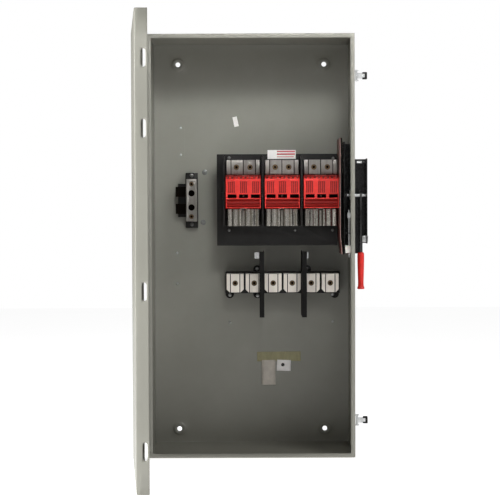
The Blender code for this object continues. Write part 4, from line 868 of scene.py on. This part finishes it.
def build_shield(pole, size):
    """One arc shield: a moulded face of grooves, windows and ribs, with walls behind it."""
    low, high = node_box(f"{pole}_arc_shield")
    half, tall = (high[0] - low[0]) / 2 / MM, (high[2] - low[2]) / MM
    lines = [edge for window in WINDOWS for edge in window]
    for way in (-1, 1):
        lines += [way * u for u in (half, RIB_HALF - 0.3, RIB_HALF + 0.3, JAW_OPENING,
                                    BLADE_OPENING)]
        lines += [centre + way * d for centre in GROOVES for d in GROOVE_HALF]
        lines += [TOOTH_PITCH * k + way * (TOOTH_HALF + d) for k in range(-3, 4)
                  for d in (-0.2, 0.2)]
    across = np.unique(np.round([u for u in lines if abs(u) <= half], 3))
    up = np.unique(np.round([*RIB_HEIGHTS[:-1], *WINDOW_HEIGHTS, *GROOVE_HEIGHTS,
                             *BAND_SLOPE[0][:-1], *FINE_HEIGHTS, tall], 3))
    u, v = np.meshgrid(across, up)
    depth = shield_front(u, v, size)
    middle = (low[0] + high[0]) / 2
    front = np.stack([middle + u * MM, low[1] + depth, low[2] + v * MM], -1)
    quads = grid_faces(len(up), len(across))
    u_mid = (across[:-1] + across[1:]) / 2
    v_mid = (up[:-1] + up[1:]) / 2
    open_row = (v_mid > WINDOW_HEIGHTS[0]) & (v_mid < WINDOW_HEIGHTS[1])
    open_column = np.any([(u_mid > a) & (u_mid < b) for a, b in WINDOWS], axis=0)
    keep = ~(open_row[:, None] & open_column[None, :])
    parts = [(front, quads[keep.ravel()])]
    sunk = (depth[:-1, :-1] + depth[1:, 1:]) / 2
    # Cells sunk deeper than this, by ribs, grooves or teeth, take the darker red as painted shade
    limit = np.select([v_mid < 41, v_mid < 85], [2.5, 1.1], 5.0)[:, None] * MM
    dark = (sunk > limit)[keep].astype(int).tolist()
    axis = middle_of("blade_crossbar")
    back = high[1]
    stops = np.array([low[1], axis[1] - CROSSBAR_ROOM, JAW_FRONT, back])
    share_lines = (stops - low[1]) / (back - low[1])

    def wall(edge, skip):
        """Wall from an edge of the face straight back, without the cells that skip indexes."""
        depths = edge[None, :, 1] + share_lines[:, None] * (back - edge[None, :, 1])
        shape = np.stack([np.broadcast_to(edge[None, :, 0], depths.shape), depths,
                          np.broadcast_to(edge[None, :, 2], depths.shape)], -1)
        cells = np.ones((len(stops) - 1, edge.shape[0] - 1), bool)
        cells[skip] = False
        parts.append((shape, grid_faces(len(stops), edge.shape[0])[cells.ravel()]))
        dark.extend([0] * int(cells.sum()))

    beside = np.where((v_mid > CROSSBAR_OPENING[0]) & (v_mid < CROSSBAR_OPENING[1]))[0]
    for column in (0, -1):
        wall(front[:, column], np.ix_((1, 2), beside))
    wall(front[-1], np.ix_((2,), np.where(np.abs(u_mid) < JAW_OPENING)[0]))
    wall(front[0], np.ix_((1, 2), np.where(np.abs(u_mid) < BLADE_OPENING)[0]))
    points, faces = join(parts)
    piece = new_piece(f"{pole}_arc_shield_moulding", points, faces,
                      [shield_plastic(), shadowed_shield_plastic()], "enclosure",
                      smooth=30, index=dark)
    thicken(piece, size.shield_wall)
    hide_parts(f"{pole}_arc_shield")


CLIP_HEIGHT, CLIP_DEPTH = 51 * MM, 44 * MM
CLIP_SLOT, CLIP_REACH = 5.2 * MM, 50 * MM   # inner and outer leaf, from the clip's middle
CLIP_ROLL, CLIP_DIP = 5 * MM, 2.2 * MM      # radius of a leaf's rolled edges, depth between
CLIP_FOOT = 3 * MM                          # thickness of the foot and of its tongue
TONGUE_HALF, TONGUE_LAP = 12 * MM, 4 * MM
CONTACT_FACES = (3.8 * MM, 6.8 * MM)        # sides of a contact, from the clip's middle


def leaf_path(near, far, front, back, side):
    """Plan of a clip's leaf: out from the back, round a roll, over a dip, and in at the slot."""
    turn = np.linspace(0, math.pi / 2, 7)
    roll = CLIP_ROLL
    outer = np.stack([far - roll + roll * np.cos(turn), front + roll - roll * np.sin(turn)], 1)
    share = np.linspace(0, 1, 26)[1:-1]
    dip = np.stack([far - roll + (near - far + 2 * roll) * share,
                    front + CLIP_DIP * (1 - np.cos(4 * math.pi * share)) / 2], 1)
    inner = np.stack([near + roll - roll * np.sin(turn), front + roll - roll * np.cos(turn)], 1)
    path = np.concatenate([[(far, back)], outer, dip, inner, [(near, back)]])
    path[:, 0] *= side
    return path if side > 0 else path[::-1]


def build_fuse_clips(size):
    """Each pole's rolled leaves on their flat foot, with the contact that rises above them."""
    for pole in POLES:
        low, high = node_box(f"{pole}_fuse_clip")
        middle = (low[0] + high[0]) / 2
        back, top, leaf_top = high[1], high[2], low[2] + CLIP_HEIGHT
        foot = back - CLIP_FOOT
        parts = [slab((low[0], foot, low[2]), (high[0], back, leaf_top)),
                 slab((middle - TONGUE_HALF, foot, leaf_top - TONGUE_LAP),
                      (middle + TONGUE_HALF, back, top))]
        for side in (-1, 1):
            path = leaf_path(CLIP_SLOT, CLIP_REACH, back - CLIP_DEPTH, back - 2 * MM, side)
            parts.append(bent_strip(path + (middle, 0), size.leaf, low[2], leaf_top))
            ends = sorted(middle + side * face for face in CONTACT_FACES)
            parts.append(slab((ends[0], low[1], leaf_top + 1 * MM),
                              (ends[1], back - 1 * MM, top - 4 * MM)))
        points, faces = join(parts)
        piece = new_piece(f"{pole}_fuse_clip_rolled", points, faces, [silvered_copper()],
                          "enclosure", smooth=40)
        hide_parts(f"{pole}_fuse_clip")


SOCKET_KEY = 3.6 * MM                   # inscribed radius of a binding screw's socket
SCREW_SUNK = 0.6 * MM                   # binding screw's head, behind the lug's face
BARREL_OFFSET = 20.5 * MM               # line lug's barrels, from its middle


def build_terminals():
    """Extruded wire lugs with their binding screws, and the jaws on the line side."""
    screw = socket_screw(8.2 * MM, 0.2 * MM, 7 * MM, SOCKET_KEY)
    for pole in POLES:
        line = f"{pole}_line_lug"
        # The line lugs' darker plating is painted shade
        softened(line, shaded_tinned_aluminium(), 0.9 * MM, 3, hollow_shade())
        x, _, z = middle_of(line)
        face = node_box(line)[0][1] + SCREW_SUNK
        binding_screws(f"{pole}_line_screws",
                       [(x + way * BARREL_OFFSET, face, z) for way in (-1, 1)], screw)
        refinish(f"{pole}_line_jaw", silvered_copper())
        for side in ("left", "right"):
            lug = f"{pole}_pole_{side}_load_lug"
            # The bores of all the lugs and of the ground bar are painted near black as shade
            softened(lug, tinned_aluminium(), 0.9 * MM, 3, hollow_shade())
            x, _, z = middle_of(lug)
            face = node_box(lug)[0][1] + SCREW_SUNK
            binding_screws(f"{pole}_{side}_load_screw", [(x, face, z)], screw)


BASE_PLATE = 10.3 * MM                  # switch base's plate, with the gap behind it
FOOT_FACE = -12.6 * MM                  # front of the terminal block's feet


def build_base():
    """Black moulded switch base and load terminal block on their steel brackets."""
    softened("switch_base", moulded_phenolic(), 1.1 * MM)
    softened("load_terminal_base", moulded_phenolic(), 1.4 * MM)
    for storey in STOREYS:
        softened(f"{storey}_base_bracket", black_powder_coat(), 0.6 * MM)
    face = node_box("upper_base_bracket")[0][1] - BASE_PLATE
    screws = [(-0.067, face, 0.266), (0.250, face, 0.263), (-0.068, face, 0.045),
              (0.134, face, 0.045), (0.248, face, 0.0445)]
    plated_heads("base_screws", screws, dome(4.6 * MM, 2.6 * MM), dulled_zinc())
    feet = [(x, FOOT_FACE, z) for x, z in ((0.017, -0.078), (-0.068, -0.160), (0.253, -0.158),
                                           (0.0185, -0.162), (0.172, -0.078))]
    plated_heads("terminal_block_screws", feet, dome(5.5 * MM, 3 * MM), zinc_plate())


def build_rotor():
    """Black crossbar and its bright double-ended blades."""
    softened("blade_crossbar", moulded_phenolic(), 0.5 * MM)
    for pole in POLES:
        softened(f"{pole}_switch_blade", silvered_copper(), 0.4 * MM)


BARRIER_SHEET, BARRIER_FOLD = 3 * MM, 3 * MM    # thickness and front fold of the side barrier
LEAN_TOP, LEAN_LENGTH = 36 * MM, 62 * MM    # where its front edge starts to turn away
LEAN_SHIFT = 5 * MM                         # and how far it goes
CLIP_LOW, CLIP_HIGH = -40 * MM, -21.5 * MM  # heights of the phase barriers' clips


def build_barriers():
    """Black fibre barriers between the load lugs, with their light steel clips, and the dark
    red side barrier, whose front edge turns away at the foot."""
    for side in ("left", "right"):
        softened(f"{side}_phase_barrier", black_fibre_sheet(), 0.5 * MM)
    clips = []
    for side, corner, way, length in (("left", 0, -1, 15 * MM), ("right", 1, 1, 5 * MM)):
        box = node_box(f"{side}_phase_barrier")
        ends = sorted(box[corner][0] + way * reach for reach in (1 * MM, length))
        front = box[0][1] + 6 * MM
        clips.append(slab((ends[0], front, CLIP_LOW), (ends[1], front + 1.5 * MM, CLIP_HIGH)))
    points, faces = join(clips)
    round_edges(new_piece("barrier_top_clips", points, faces, [zinc_plate()], "enclosure"), 0.4 * MM)
    low, high = node_box("side_insulating_barrier")
    lip = high[0] - low[0] - LEAN_SHIFT
    up = np.linspace(low[2], high[2], 60)
    lean = np.clip((LEAN_TOP - up) / LEAN_LENGTH, 0, 1)
    shift = LEAN_SHIFT * lean ** 2 * (3 - 2 * lean)
    turn = np.linspace(0, math.pi / 2, 5)
    fold = BARRIER_FOLD
    path = np.concatenate([[(0, high[1])], np.stack(
        [fold - fold * np.cos(turn), low[1] + fold - fold * np.sin(turn)], 1),
        [(lip, low[1])]])
    points = np.empty((len(up), len(path), 3))
    points[..., 0] = low[0] + path[None, :, 0] + shift[:, None]
    points[..., 1] = path[None, :, 1]
    points[..., 2] = up[:, None]
    # Red up to the fold, whose nose is rubbed pale; the lip beyond it is black
    column = [0, 1, 1, 1, 2, 2]
    piece = new_piece("side_barrier_sheet", points, grid_faces(len(up), len(path)).tolist(),
                      [red_fibre_sheet(), sheared_fibre_edge(), black_fibre_sheet()],
                      "enclosure", smooth=50, close=False,
                      index=np.tile(column, len(up) - 1))
    thicken(piece, BARRIER_SHEET, rim=1)
    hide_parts("side_insulating_barrier")


GROUND_MIDDLE = -186 * MM               # upright line of the ground block's screws
GROUND_SCREW_OFFSET = 50.5 * MM


def build_ground():
    """Ground bar with its side lugs on a black foot, its terminal screws and its two fixings."""
    # The ground bar shares the line lugs' plating, painted darker as shade
    softened("ground_bar", shaded_tinned_aluminium(), 1.0 * MM, 3, hollow_shade())
    softened("ground_bar_base", moulded_phenolic(), 1.6 * MM, 3)
    low, high = node_box("ground_bar")
    middle = (low[2] + high[2]) / 2
    screws = [(GROUND_MIDDLE, low[1] + 2 * MM, middle + way * GROUND_SCREW_OFFSET)
              for way in (-1, 1)]
    binding_screws("ground_terminal_screws", screws,
                   socket_screw(7 * MM, 0.1 * MM, 6 * MM, SOCKET_KEY))
    face = node_box("ground_bar_base")[0][1]
    plated_heads("ground_fixing_screws", [(GROUND_MIDDLE, face, z) for z in (0.215, 0.062)],
                 dome(6 * MM, 3.5 * MM), dulled_zinc())


def build_mechanism():
    """Black frame on the right wall, with the interlock's rod, spring and guide, and the crank."""
    softened("mechanism_frame", black_powder_coat(), 0.8 * MM)
    softened("spring_seat", black_powder_coat(), 0.4 * MM)
    softened("rod_guide_block", cast_nylon(), 1.2 * MM, 3)
    softened("shaft_bushing", cast_nylon(), 0.5 * MM)
    for node in ("interlock_hook", "handle_shaft"):
        softened(node, zinc_plate(), 0.4 * MM)
    softened("operating_crank", black_powder_coat(), 0.4 * MM)
    refinish("interlock_spring", oiled_spring_steel())


SPACER_RADIUS = 3.2 * MM
SLEEVE_RADIUS, SLEEVE_HALF = 4 * MM, 7.5 * MM


def build_handle():
    """Housing, arm and grip outside the right wall; the grip narrows to a waist and flares."""
    softened("handle_housing", black_powder_coat(), 1.0 * MM, 3)
    low, high = node_box("housing_spacer")
    middle, reach = (low + high) / 2, (high[0] - low[0]) / 2
    spacer = turned_group(
        "spacer_with_sleeve", [middle], (1, 0, 0),
        [(SPACER_RADIUS, -reach), (SPACER_RADIUS, -SLEEVE_HALF), (SLEEVE_RADIUS, -SLEEVE_HALF),
         (SLEEVE_RADIUS, SLEEVE_HALF), (SPACER_RADIUS, SLEEVE_HALF), (SPACER_RADIUS, reach)],
        [black_powder_coat(), zinc_plate()], "enclosure")
    sleeve = [abs(face.center[0] - middle[0]) < SLEEVE_HALF + 0.1 * MM
              for face in spacer.data.polygons]
    spacer.data.polygons.foreach_set("material_index", np.array(sleeve, np.int32))
    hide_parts("housing_spacer")
    softened("handle_arm", black_powder_coat(), 0.6 * MM)
    softened("padlock_tab", zinc_plate(), 0.5 * MM)
    low, high = node_box("handle_grip")
    middle = (low + high) / 2
    tall = high[2] - low[2]
    share = np.array([0, 0.006, 0.02, 0.045, 0.08, 0.2, 0.35, 0.5, 0.65, 0.82, 0.9, 0.94, 0.962,
                      0.975, 0.99, 1.0])
    radius = np.array([6, 7.8, 9.2, 10.0, 10.3, 10.3, 10.0, 9.6, 9.1, 8.5, 8.8, 9.7, 10.9,
                       11.2, 10.8, 9.4]) * MM
    fine = np.linspace(0, 1, 60)
    ring = np.interp(fine, share, radius)
    rings = np.stack([ring, high[2] - fine * tall - middle[2]], 1)
    piece = turned_group("grip_moulding", [middle], (0, 0, 1), rings, [grip_vinyl()], "handle",
                         sides=36)
    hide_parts("handle_grip")


# ---------------------------------------------------------------- small things on the walls

def slip(name, x, z, size, tilt, lift, material, face=WALL_FACE, cells=(16, 10)):
    """A thin sheet on a wall: a grid turned by tilt, whose lift(u, v) stands it off the wall.

    u runs from -1 to 1 along its width and v from -1 to 1 along its height.
    """
    u, v = np.meshgrid(np.linspace(-1, 1, cells[0] + 1), np.linspace(-1, 1, cells[1] + 1))
    across, up = u * size[0] / 2, v * size[1] / 2
    c, s = math.cos(math.radians(tilt)), math.sin(math.radians(tilt))
    points = np.stack([x + c * across - s * up, face - lift(u, v), z + s * across + c * up], -1)
    piece = new_piece(name, points, grid_faces(cells[1] + 1, cells[0] + 1).tolist(), [material],
                      "enclosure", smooth=60, close=False)
    return thicken(piece, sizes().paper)


STRIP_MIDDLE, STRIP_LIFT = -220 * MM, 1.2 * MM


def build_wall_details():
    """Studs, rivets and bright heads on the back wall, and the raised strip with its rivets."""
    studs = [(x, WALL_FACE, z) for x, z in ((-0.1458, 0.2247), (-0.1512, 0.068))]
    plated_heads("plate_studs", studs,
                 [(8.5 * MM, 0.3 * MM), (8.5 * MM, -0.8 * MM), (7.6 * MM, -1.4 * MM),
                  (3.5 * MM, -1.6 * MM), (3.5 * MM, -5 * MM), (2.8 * MM, -6 * MM)],
                 dulled_zinc())
    heads = [(x, WALL_FACE, z) for x, z in ((-0.2335, -0.0277), (-0.233, -0.1235),
                                            (-0.0687, -0.2458), (0.2545, -0.2445),
                                            (-0.216, 0.142))]
    plated_heads("wall_weld_studs", heads, dome(3.8 * MM, 3 * MM), zinc_plate())
    strip = slip("raised_strip", STRIP_MIDDLE, 0.3215, (24 * MM, 97 * MM), 0,
                 lambda u, v: STRIP_LIFT + 0 * u, sprayed_enamel(), cells=(2, 8))
    round_edges(strip, 0.3 * MM, 1)
    plated_heads("strip_rivets",
                 [(STRIP_MIDDLE, WALL_FACE - STRIP_LIFT, z) for z in (0.364, 0.280)],
                 dome(3.4 * MM, 1.8 * MM), zinc_plate())


def build_papers():
    """Loose paper on the back wall: a tilted slip, a strip of tape, a folded slip and a tag."""
    slip("tilted_slip", -0.0485, 0.3825, (14 * MM, 31 * MM), 12,
         lambda u, v: (0.8 + 1.2 * np.abs(v) ** 3) * MM, coated_card())
    slip("masking_tape", 0.0845, -0.354, (137 * MM, 30 * MM), 0.4,
         lambda u, v: (0.6 + 0.15 * np.sin(23 * u + 3 * v)) * MM, masking_tape(),
         cells=(60, 8))

    def folds(u, v):
        """Zigzag across the height, with two creases."""
        return np.interp((1 - v) / 2, [0, 0.28, 0.64, 1], [1, 5, 1.4, 5]) * MM

    slip("folded_slip", 0.0525, -0.404, (43 * MM, 78 * MM), 0, folds, slip_paper(),
         cells=(4, 50))
    slip("hanging_tag", 0.100, -0.382, (44 * MM, 34 * MM), -2,
         lambda u, v: (1.2 + 5 * np.clip(-v - 0.2, 0, 1) ** 2) * MM, coated_card(),
         cells=(6, 20))
    turned_group("tag_spot", [(0.097, WALL_FACE - 1.5 * MM, -0.380)], TO_BACK,
                 [(5.5 * MM, 0.2 * MM), (5.5 * MM, -0.3 * MM), (5 * MM, -0.45 * MM)],
                 [black_ink()], "enclosure")


# Printed bars: start, end, bottom and top, as shares of the card
LABEL_BARS = ((0.33, 0.97, 0.76, 0.9), (0.33, 0.97, 0.46, 0.62), (0.33, 0.93, 0.2, 0.27))


def build_label():
    """Plain card above the switch with printed bars in place of any wording."""
    refinish("label_card", coated_card())
    low, high = node_box("label_card")
    wide, face, tall = high[0] - low[0], low[1], high[2] - low[2]
    for number, (start, end, bottom, top) in enumerate(LABEL_BARS, 1):
        slip(f"label_bar_{number}", low[0] + wide * (start + end) / 2,
             low[2] + tall * (bottom + top) / 2, (wide * (end - start), tall * (top - bottom)),
             0, lambda u, v: 0.25 * MM + 0 * u, printed_red(), face, (2, 1))


# ---------------------------------------------------------------- stage

# Soft boxes: name, place, the point it faces, its size, its spread in degrees and its watts
LAMPS = (
    ("left_softbox", (-2.4, -1.8, 0.6), (-0.3, -0.6, 0.1), (1.2, 1.2), 180, 89),
    ("left_strip", (-2.2, -3.6, 1.2), (-0.3, -0.8, 0.0), (0.6, 1.6), 60, 3.7),
    ("front_softbox", (0.3, -4.2, 1.4), (0.0, -0.2, 0.0), (1.2, 1.2), 180, 7),
    ("right_softbox", (2.4, -1.8, 0.6), (0.0, -0.3, 0.1), (1.2, 1.2), 180, 7),
    ("near_softbox", (1.0, -1.3, 1.1), (0.2, -0.33, 0.4), (0.6, 0.6), 180, 10.5),
    ("upper_spot", (0.3, -2.6, 1.6), (0.0, 0.0, 0.34), (0.5, 0.5), 28, 0.6),
    ("high_spot", (0.0, -3.5, 2.2), (0.0, 0.0, 0.42), (0.4, 0.4), 18, 0.15),
    ("rim_spot", (0.6, -3.2, 2.0), (0.05, -0.2, 0.62), (0.5, 0.5), 22, 0.3),
)


FLOOR_REACH, FLOOR_GAP = 7.0, 0.5 * MM
SKY_STRENGTH, BACKDROP_STRENGTH = 0.17, 1.0     # as a light, and as the camera sees it
CAMERA_PLACE = (0.0114, -5.1708, 0.117)
CAMERA_PAN, CAMERA_TILT, CAMERA_ROLL = 0.18, -1.51, -0.22           # degrees
LENS, SENSOR = 118.64, 36               # mm
CLIP_END = 60                           # how far the camera sees, in metres


def turn_about(axis, degrees):
    return Matrix.Rotation(math.radians(degrees), 4, axis)


def build_stage():
    """Pale floor, soft studio light that comes mostly from the left, and the camera."""
    ends = np.linspace(-FLOOR_REACH, FLOOR_REACH, 3)
    x, y = np.meshgrid(ends, ends)
    points = np.stack([x, y, np.full(x.shape, CAD_BOX[0][2] - FLOOR_GAP)], -1)
    mesh = bpy.data.meshes.new("studio_floor")
    mesh.from_pydata(points.reshape(-1, 3).tolist(), [], grid_faces(3, 3).tolist())
    mesh.materials.append(studio_floor())
    floor = bpy.data.objects.new("studio_floor", mesh)
    bpy.context.scene.collection.objects.link(floor)

    world = bpy.data.worlds.new("studio")
    world.use_nodes = True
    tree = world.node_tree
    sky = tree.nodes["Background"]
    sky.inputs["Color"].default_value = (1, 1, 1, 1)
    sky.inputs["Strength"].default_value = SKY_STRENGTH
    backdrop = add_node(tree, "Background", {"Color": (1, 1, 1, 1),
                                             "Strength": BACKDROP_STRENGTH})
    seen = add_node(tree, "LightPath").outputs["Is Camera Ray"]
    mix = add_node(tree, "MixShader", {0: seen, 1: sky.outputs[0], 2: backdrop.outputs[0]})
    tree.links.new(mix.outputs[0], tree.nodes["World Output"].inputs["Surface"])
    bpy.context.scene.world = world
    for name, place, target, size, spread, watts in LAMPS:
        lamp = bpy.data.lights.new(name, "AREA")
        lamp.shape = "RECTANGLE"
        lamp.size, lamp.size_y = size
        lamp.spread = math.radians(spread)
        lamp.energy = watts
        light = bpy.data.objects.new(name, lamp)
        light.location = place
        light.rotation_euler = (Vector(target) - Vector(place)).to_track_quat("-Z", "Y").to_euler()
        light.visible_camera = False
        bpy.context.scene.collection.objects.link(light)

    lens = bpy.data.cameras.new("camera")
    lens.lens, lens.sensor_width = LENS, SENSOR
    lens.clip_end = CLIP_END
    camera = bpy.data.objects.new("camera", lens)
    turn = (turn_about("Z", CAMERA_PAN) @ turn_about("X", 90 + CAMERA_TILT)
            @ turn_about("Z", CAMERA_ROLL))
    camera.matrix_world = Matrix.Translation(CAMERA_PLACE) @ turn
    bpy.context.scene.collection.objects.link(camera)
    bpy.context.scene.camera = camera
    bpy.context.scene.view_settings.view_transform = "Standard"


# ---------------------------------------------------------------- operators and panel

class SWITCH_OT_enclosure(bpy.types.Operator):
    """Builds the steel box with its rim, folds and mounting holes."""
    bl_idname = "switch.enclosure"
    bl_label = "Box"
    bl_options = {"REGISTER", "UNDO"}

    def execute(self, context):
        build_enclosure()
        return {"FINISHED"}


class SWITCH_OT_door(bpy.types.Operator):
    """Builds the open door and its interlock catch."""
    bl_idname = "switch.door"
    bl_label = "Door"
    bl_options = {"REGISTER", "UNDO"}

    def execute(self, context):
        build_door()
        return {"FINISHED"}


class SWITCH_OT_hardware(bpy.types.Operator):
    """Finishes the hinges and the draw latches."""
    bl_idname = "switch.hardware"
    bl_label = "Hinges and latches"
    bl_options = {"REGISTER", "UNDO"}

    def execute(self, context):
        build_hardware()
        return {"FINISHED"}


class SWITCH_OT_base(bpy.types.Operator):
    """Finishes the switch base, the terminal block and their brackets."""
    bl_idname = "switch.base"
    bl_label = "Bases"
    bl_options = {"REGISTER", "UNDO"}

    def execute(self, context):
        build_base()
        return {"FINISHED"}


class SWITCH_OT_rotor(bpy.types.Operator):
    """Finishes the crossbar and its blades."""
    bl_idname = "switch.rotor"
    bl_label = "Rotor"
    bl_options = {"REGISTER", "UNDO"}

    def execute(self, context):
        build_rotor()
        return {"FINISHED"}


class SWITCH_OT_shields(bpy.types.Operator):
    """Builds the three red arc shields."""
    bl_idname = "switch.shields"
    bl_label = "Arc shields"
    bl_options = {"REGISTER", "UNDO"}

    def execute(self, context):
        for pole in POLES:
            build_shield(pole, sizes())
        return {"FINISHED"}


class SWITCH_OT_fuse_clips(bpy.types.Operator):
    """Builds the rolled fuse clips."""
    bl_idname = "switch.fuse_clips"
    bl_label = "Fuse clips"
    bl_options = {"REGISTER", "UNDO"}

    def execute(self, context):
        build_fuse_clips(sizes())
        return {"FINISHED"}


class SWITCH_OT_terminals(bpy.types.Operator):
    """Finishes the wire lugs and builds their screws."""
    bl_idname = "switch.terminals"
    bl_label = "Terminals"
    bl_options = {"REGISTER", "UNDO"}

    def execute(self, context):
        build_terminals()
        return {"FINISHED"}


class SWITCH_OT_barriers(bpy.types.Operator):
    """Finishes the phase barriers and builds the side barrier."""
    bl_idname = "switch.barriers"
    bl_label = "Barriers"
    bl_options = {"REGISTER", "UNDO"}

    def execute(self, context):
        build_barriers()
        return {"FINISHED"}


class SWITCH_OT_ground(bpy.types.Operator):
    """Finishes the ground block and builds its screws."""
    bl_idname = "switch.ground"
    bl_label = "Ground block"
    bl_options = {"REGISTER", "UNDO"}

    def execute(self, context):
        build_ground()
        return {"FINISHED"}


class SWITCH_OT_mechanism(bpy.types.Operator):
    """Finishes the interlock and its frame."""
    bl_idname = "switch.mechanism"
    bl_label = "Mechanism"
    bl_options = {"REGISTER", "UNDO"}

    def execute(self, context):
        build_mechanism()
        return {"FINISHED"}


class SWITCH_OT_handle(bpy.types.Operator):
    """Finishes the handle and builds its grip."""
    bl_idname = "switch.handle"
    bl_label = "Handle"
    bl_options = {"REGISTER", "UNDO"}

    def execute(self, context):
        build_handle()
        return {"FINISHED"}


class SWITCH_OT_wall_details(bpy.types.Operator):
    """Builds the studs, rivets and raised strip on the back wall."""
    bl_idname = "switch.wall_details"
    bl_label = "Wall details"
    bl_options = {"REGISTER", "UNDO"}

    def execute(self, context):
        build_wall_details()
        return {"FINISHED"}


class SWITCH_OT_papers(bpy.types.Operator):
    """Builds the loose papers and the tape."""
    bl_idname = "switch.papers"
    bl_label = "Papers"
    bl_options = {"REGISTER", "UNDO"}

    def execute(self, context):
        build_papers()
        return {"FINISHED"}


class SWITCH_OT_label(bpy.types.Operator):
    """Finishes the label card and builds its printed bars."""
    bl_idname = "switch.label"
    bl_label = "Label"
    bl_options = {"REGISTER", "UNDO"}

    def execute(self, context):
        build_label()
        return {"FINISHED"}


class SWITCH_OT_stage(bpy.types.Operator):
    """Builds the floor, the lights and the camera."""
    bl_idname = "switch.stage"
    bl_label = "Stage"
    bl_options = {"REGISTER", "UNDO"}

    def execute(self, context):
        build_stage()
        return {"FINISHED"}


OPERATORS = (
    SWITCH_OT_enclosure, SWITCH_OT_door, SWITCH_OT_hardware, SWITCH_OT_base, SWITCH_OT_rotor,
    SWITCH_OT_shields, SWITCH_OT_fuse_clips, SWITCH_OT_terminals, SWITCH_OT_barriers,
    SWITCH_OT_ground, SWITCH_OT_mechanism, SWITCH_OT_handle, SWITCH_OT_wall_details,
    SWITCH_OT_papers, SWITCH_OT_label, SWITCH_OT_stage,
)


class SWITCH_PT_panel(bpy.types.Panel):
    """Sidebar panel with the settings and one button for each builder."""
    bl_idname = "SWITCH_PT_panel"
    bl_label = "Fused safety switch"
    bl_space_type = "VIEW_3D"
    bl_region_type = "UI"
    bl_category = "Switch"

    def draw(self, context):
        scene = context.scene
        for group in (scene.switch_colours, scene.switch_sizes):
            column = self.layout.column(align=True)
            for name in group.__annotations__:
                column.prop(group, name)
        column = self.layout.column(align=True)
        for each in OPERATORS:
            column.operator(each.bl_idname, text=each.bl_label)


CLASSES = (SwitchColours, SwitchSizes, *OPERATORS, SWITCH_PT_panel)


def register():
    for each in CLASSES:
        bpy.utils.register_class(each)
    bpy.types.Scene.switch_colours = bpy.props.PointerProperty(type=SwitchColours)
    bpy.types.Scene.switch_sizes = bpy.props.PointerProperty(type=SwitchSizes)


def unregister():
    del bpy.types.Scene.switch_sizes
    del bpy.types.Scene.switch_colours
    for each in reversed(CLASSES):
        bpy.utils.unregister_class(each)


def main():
    """Registers the add-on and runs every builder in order."""
    register()
    for each in OPERATORS:
        getattr(bpy.ops.switch, each.bl_idname.split(".")[1])()


if __name__ == "__main__":
    main()
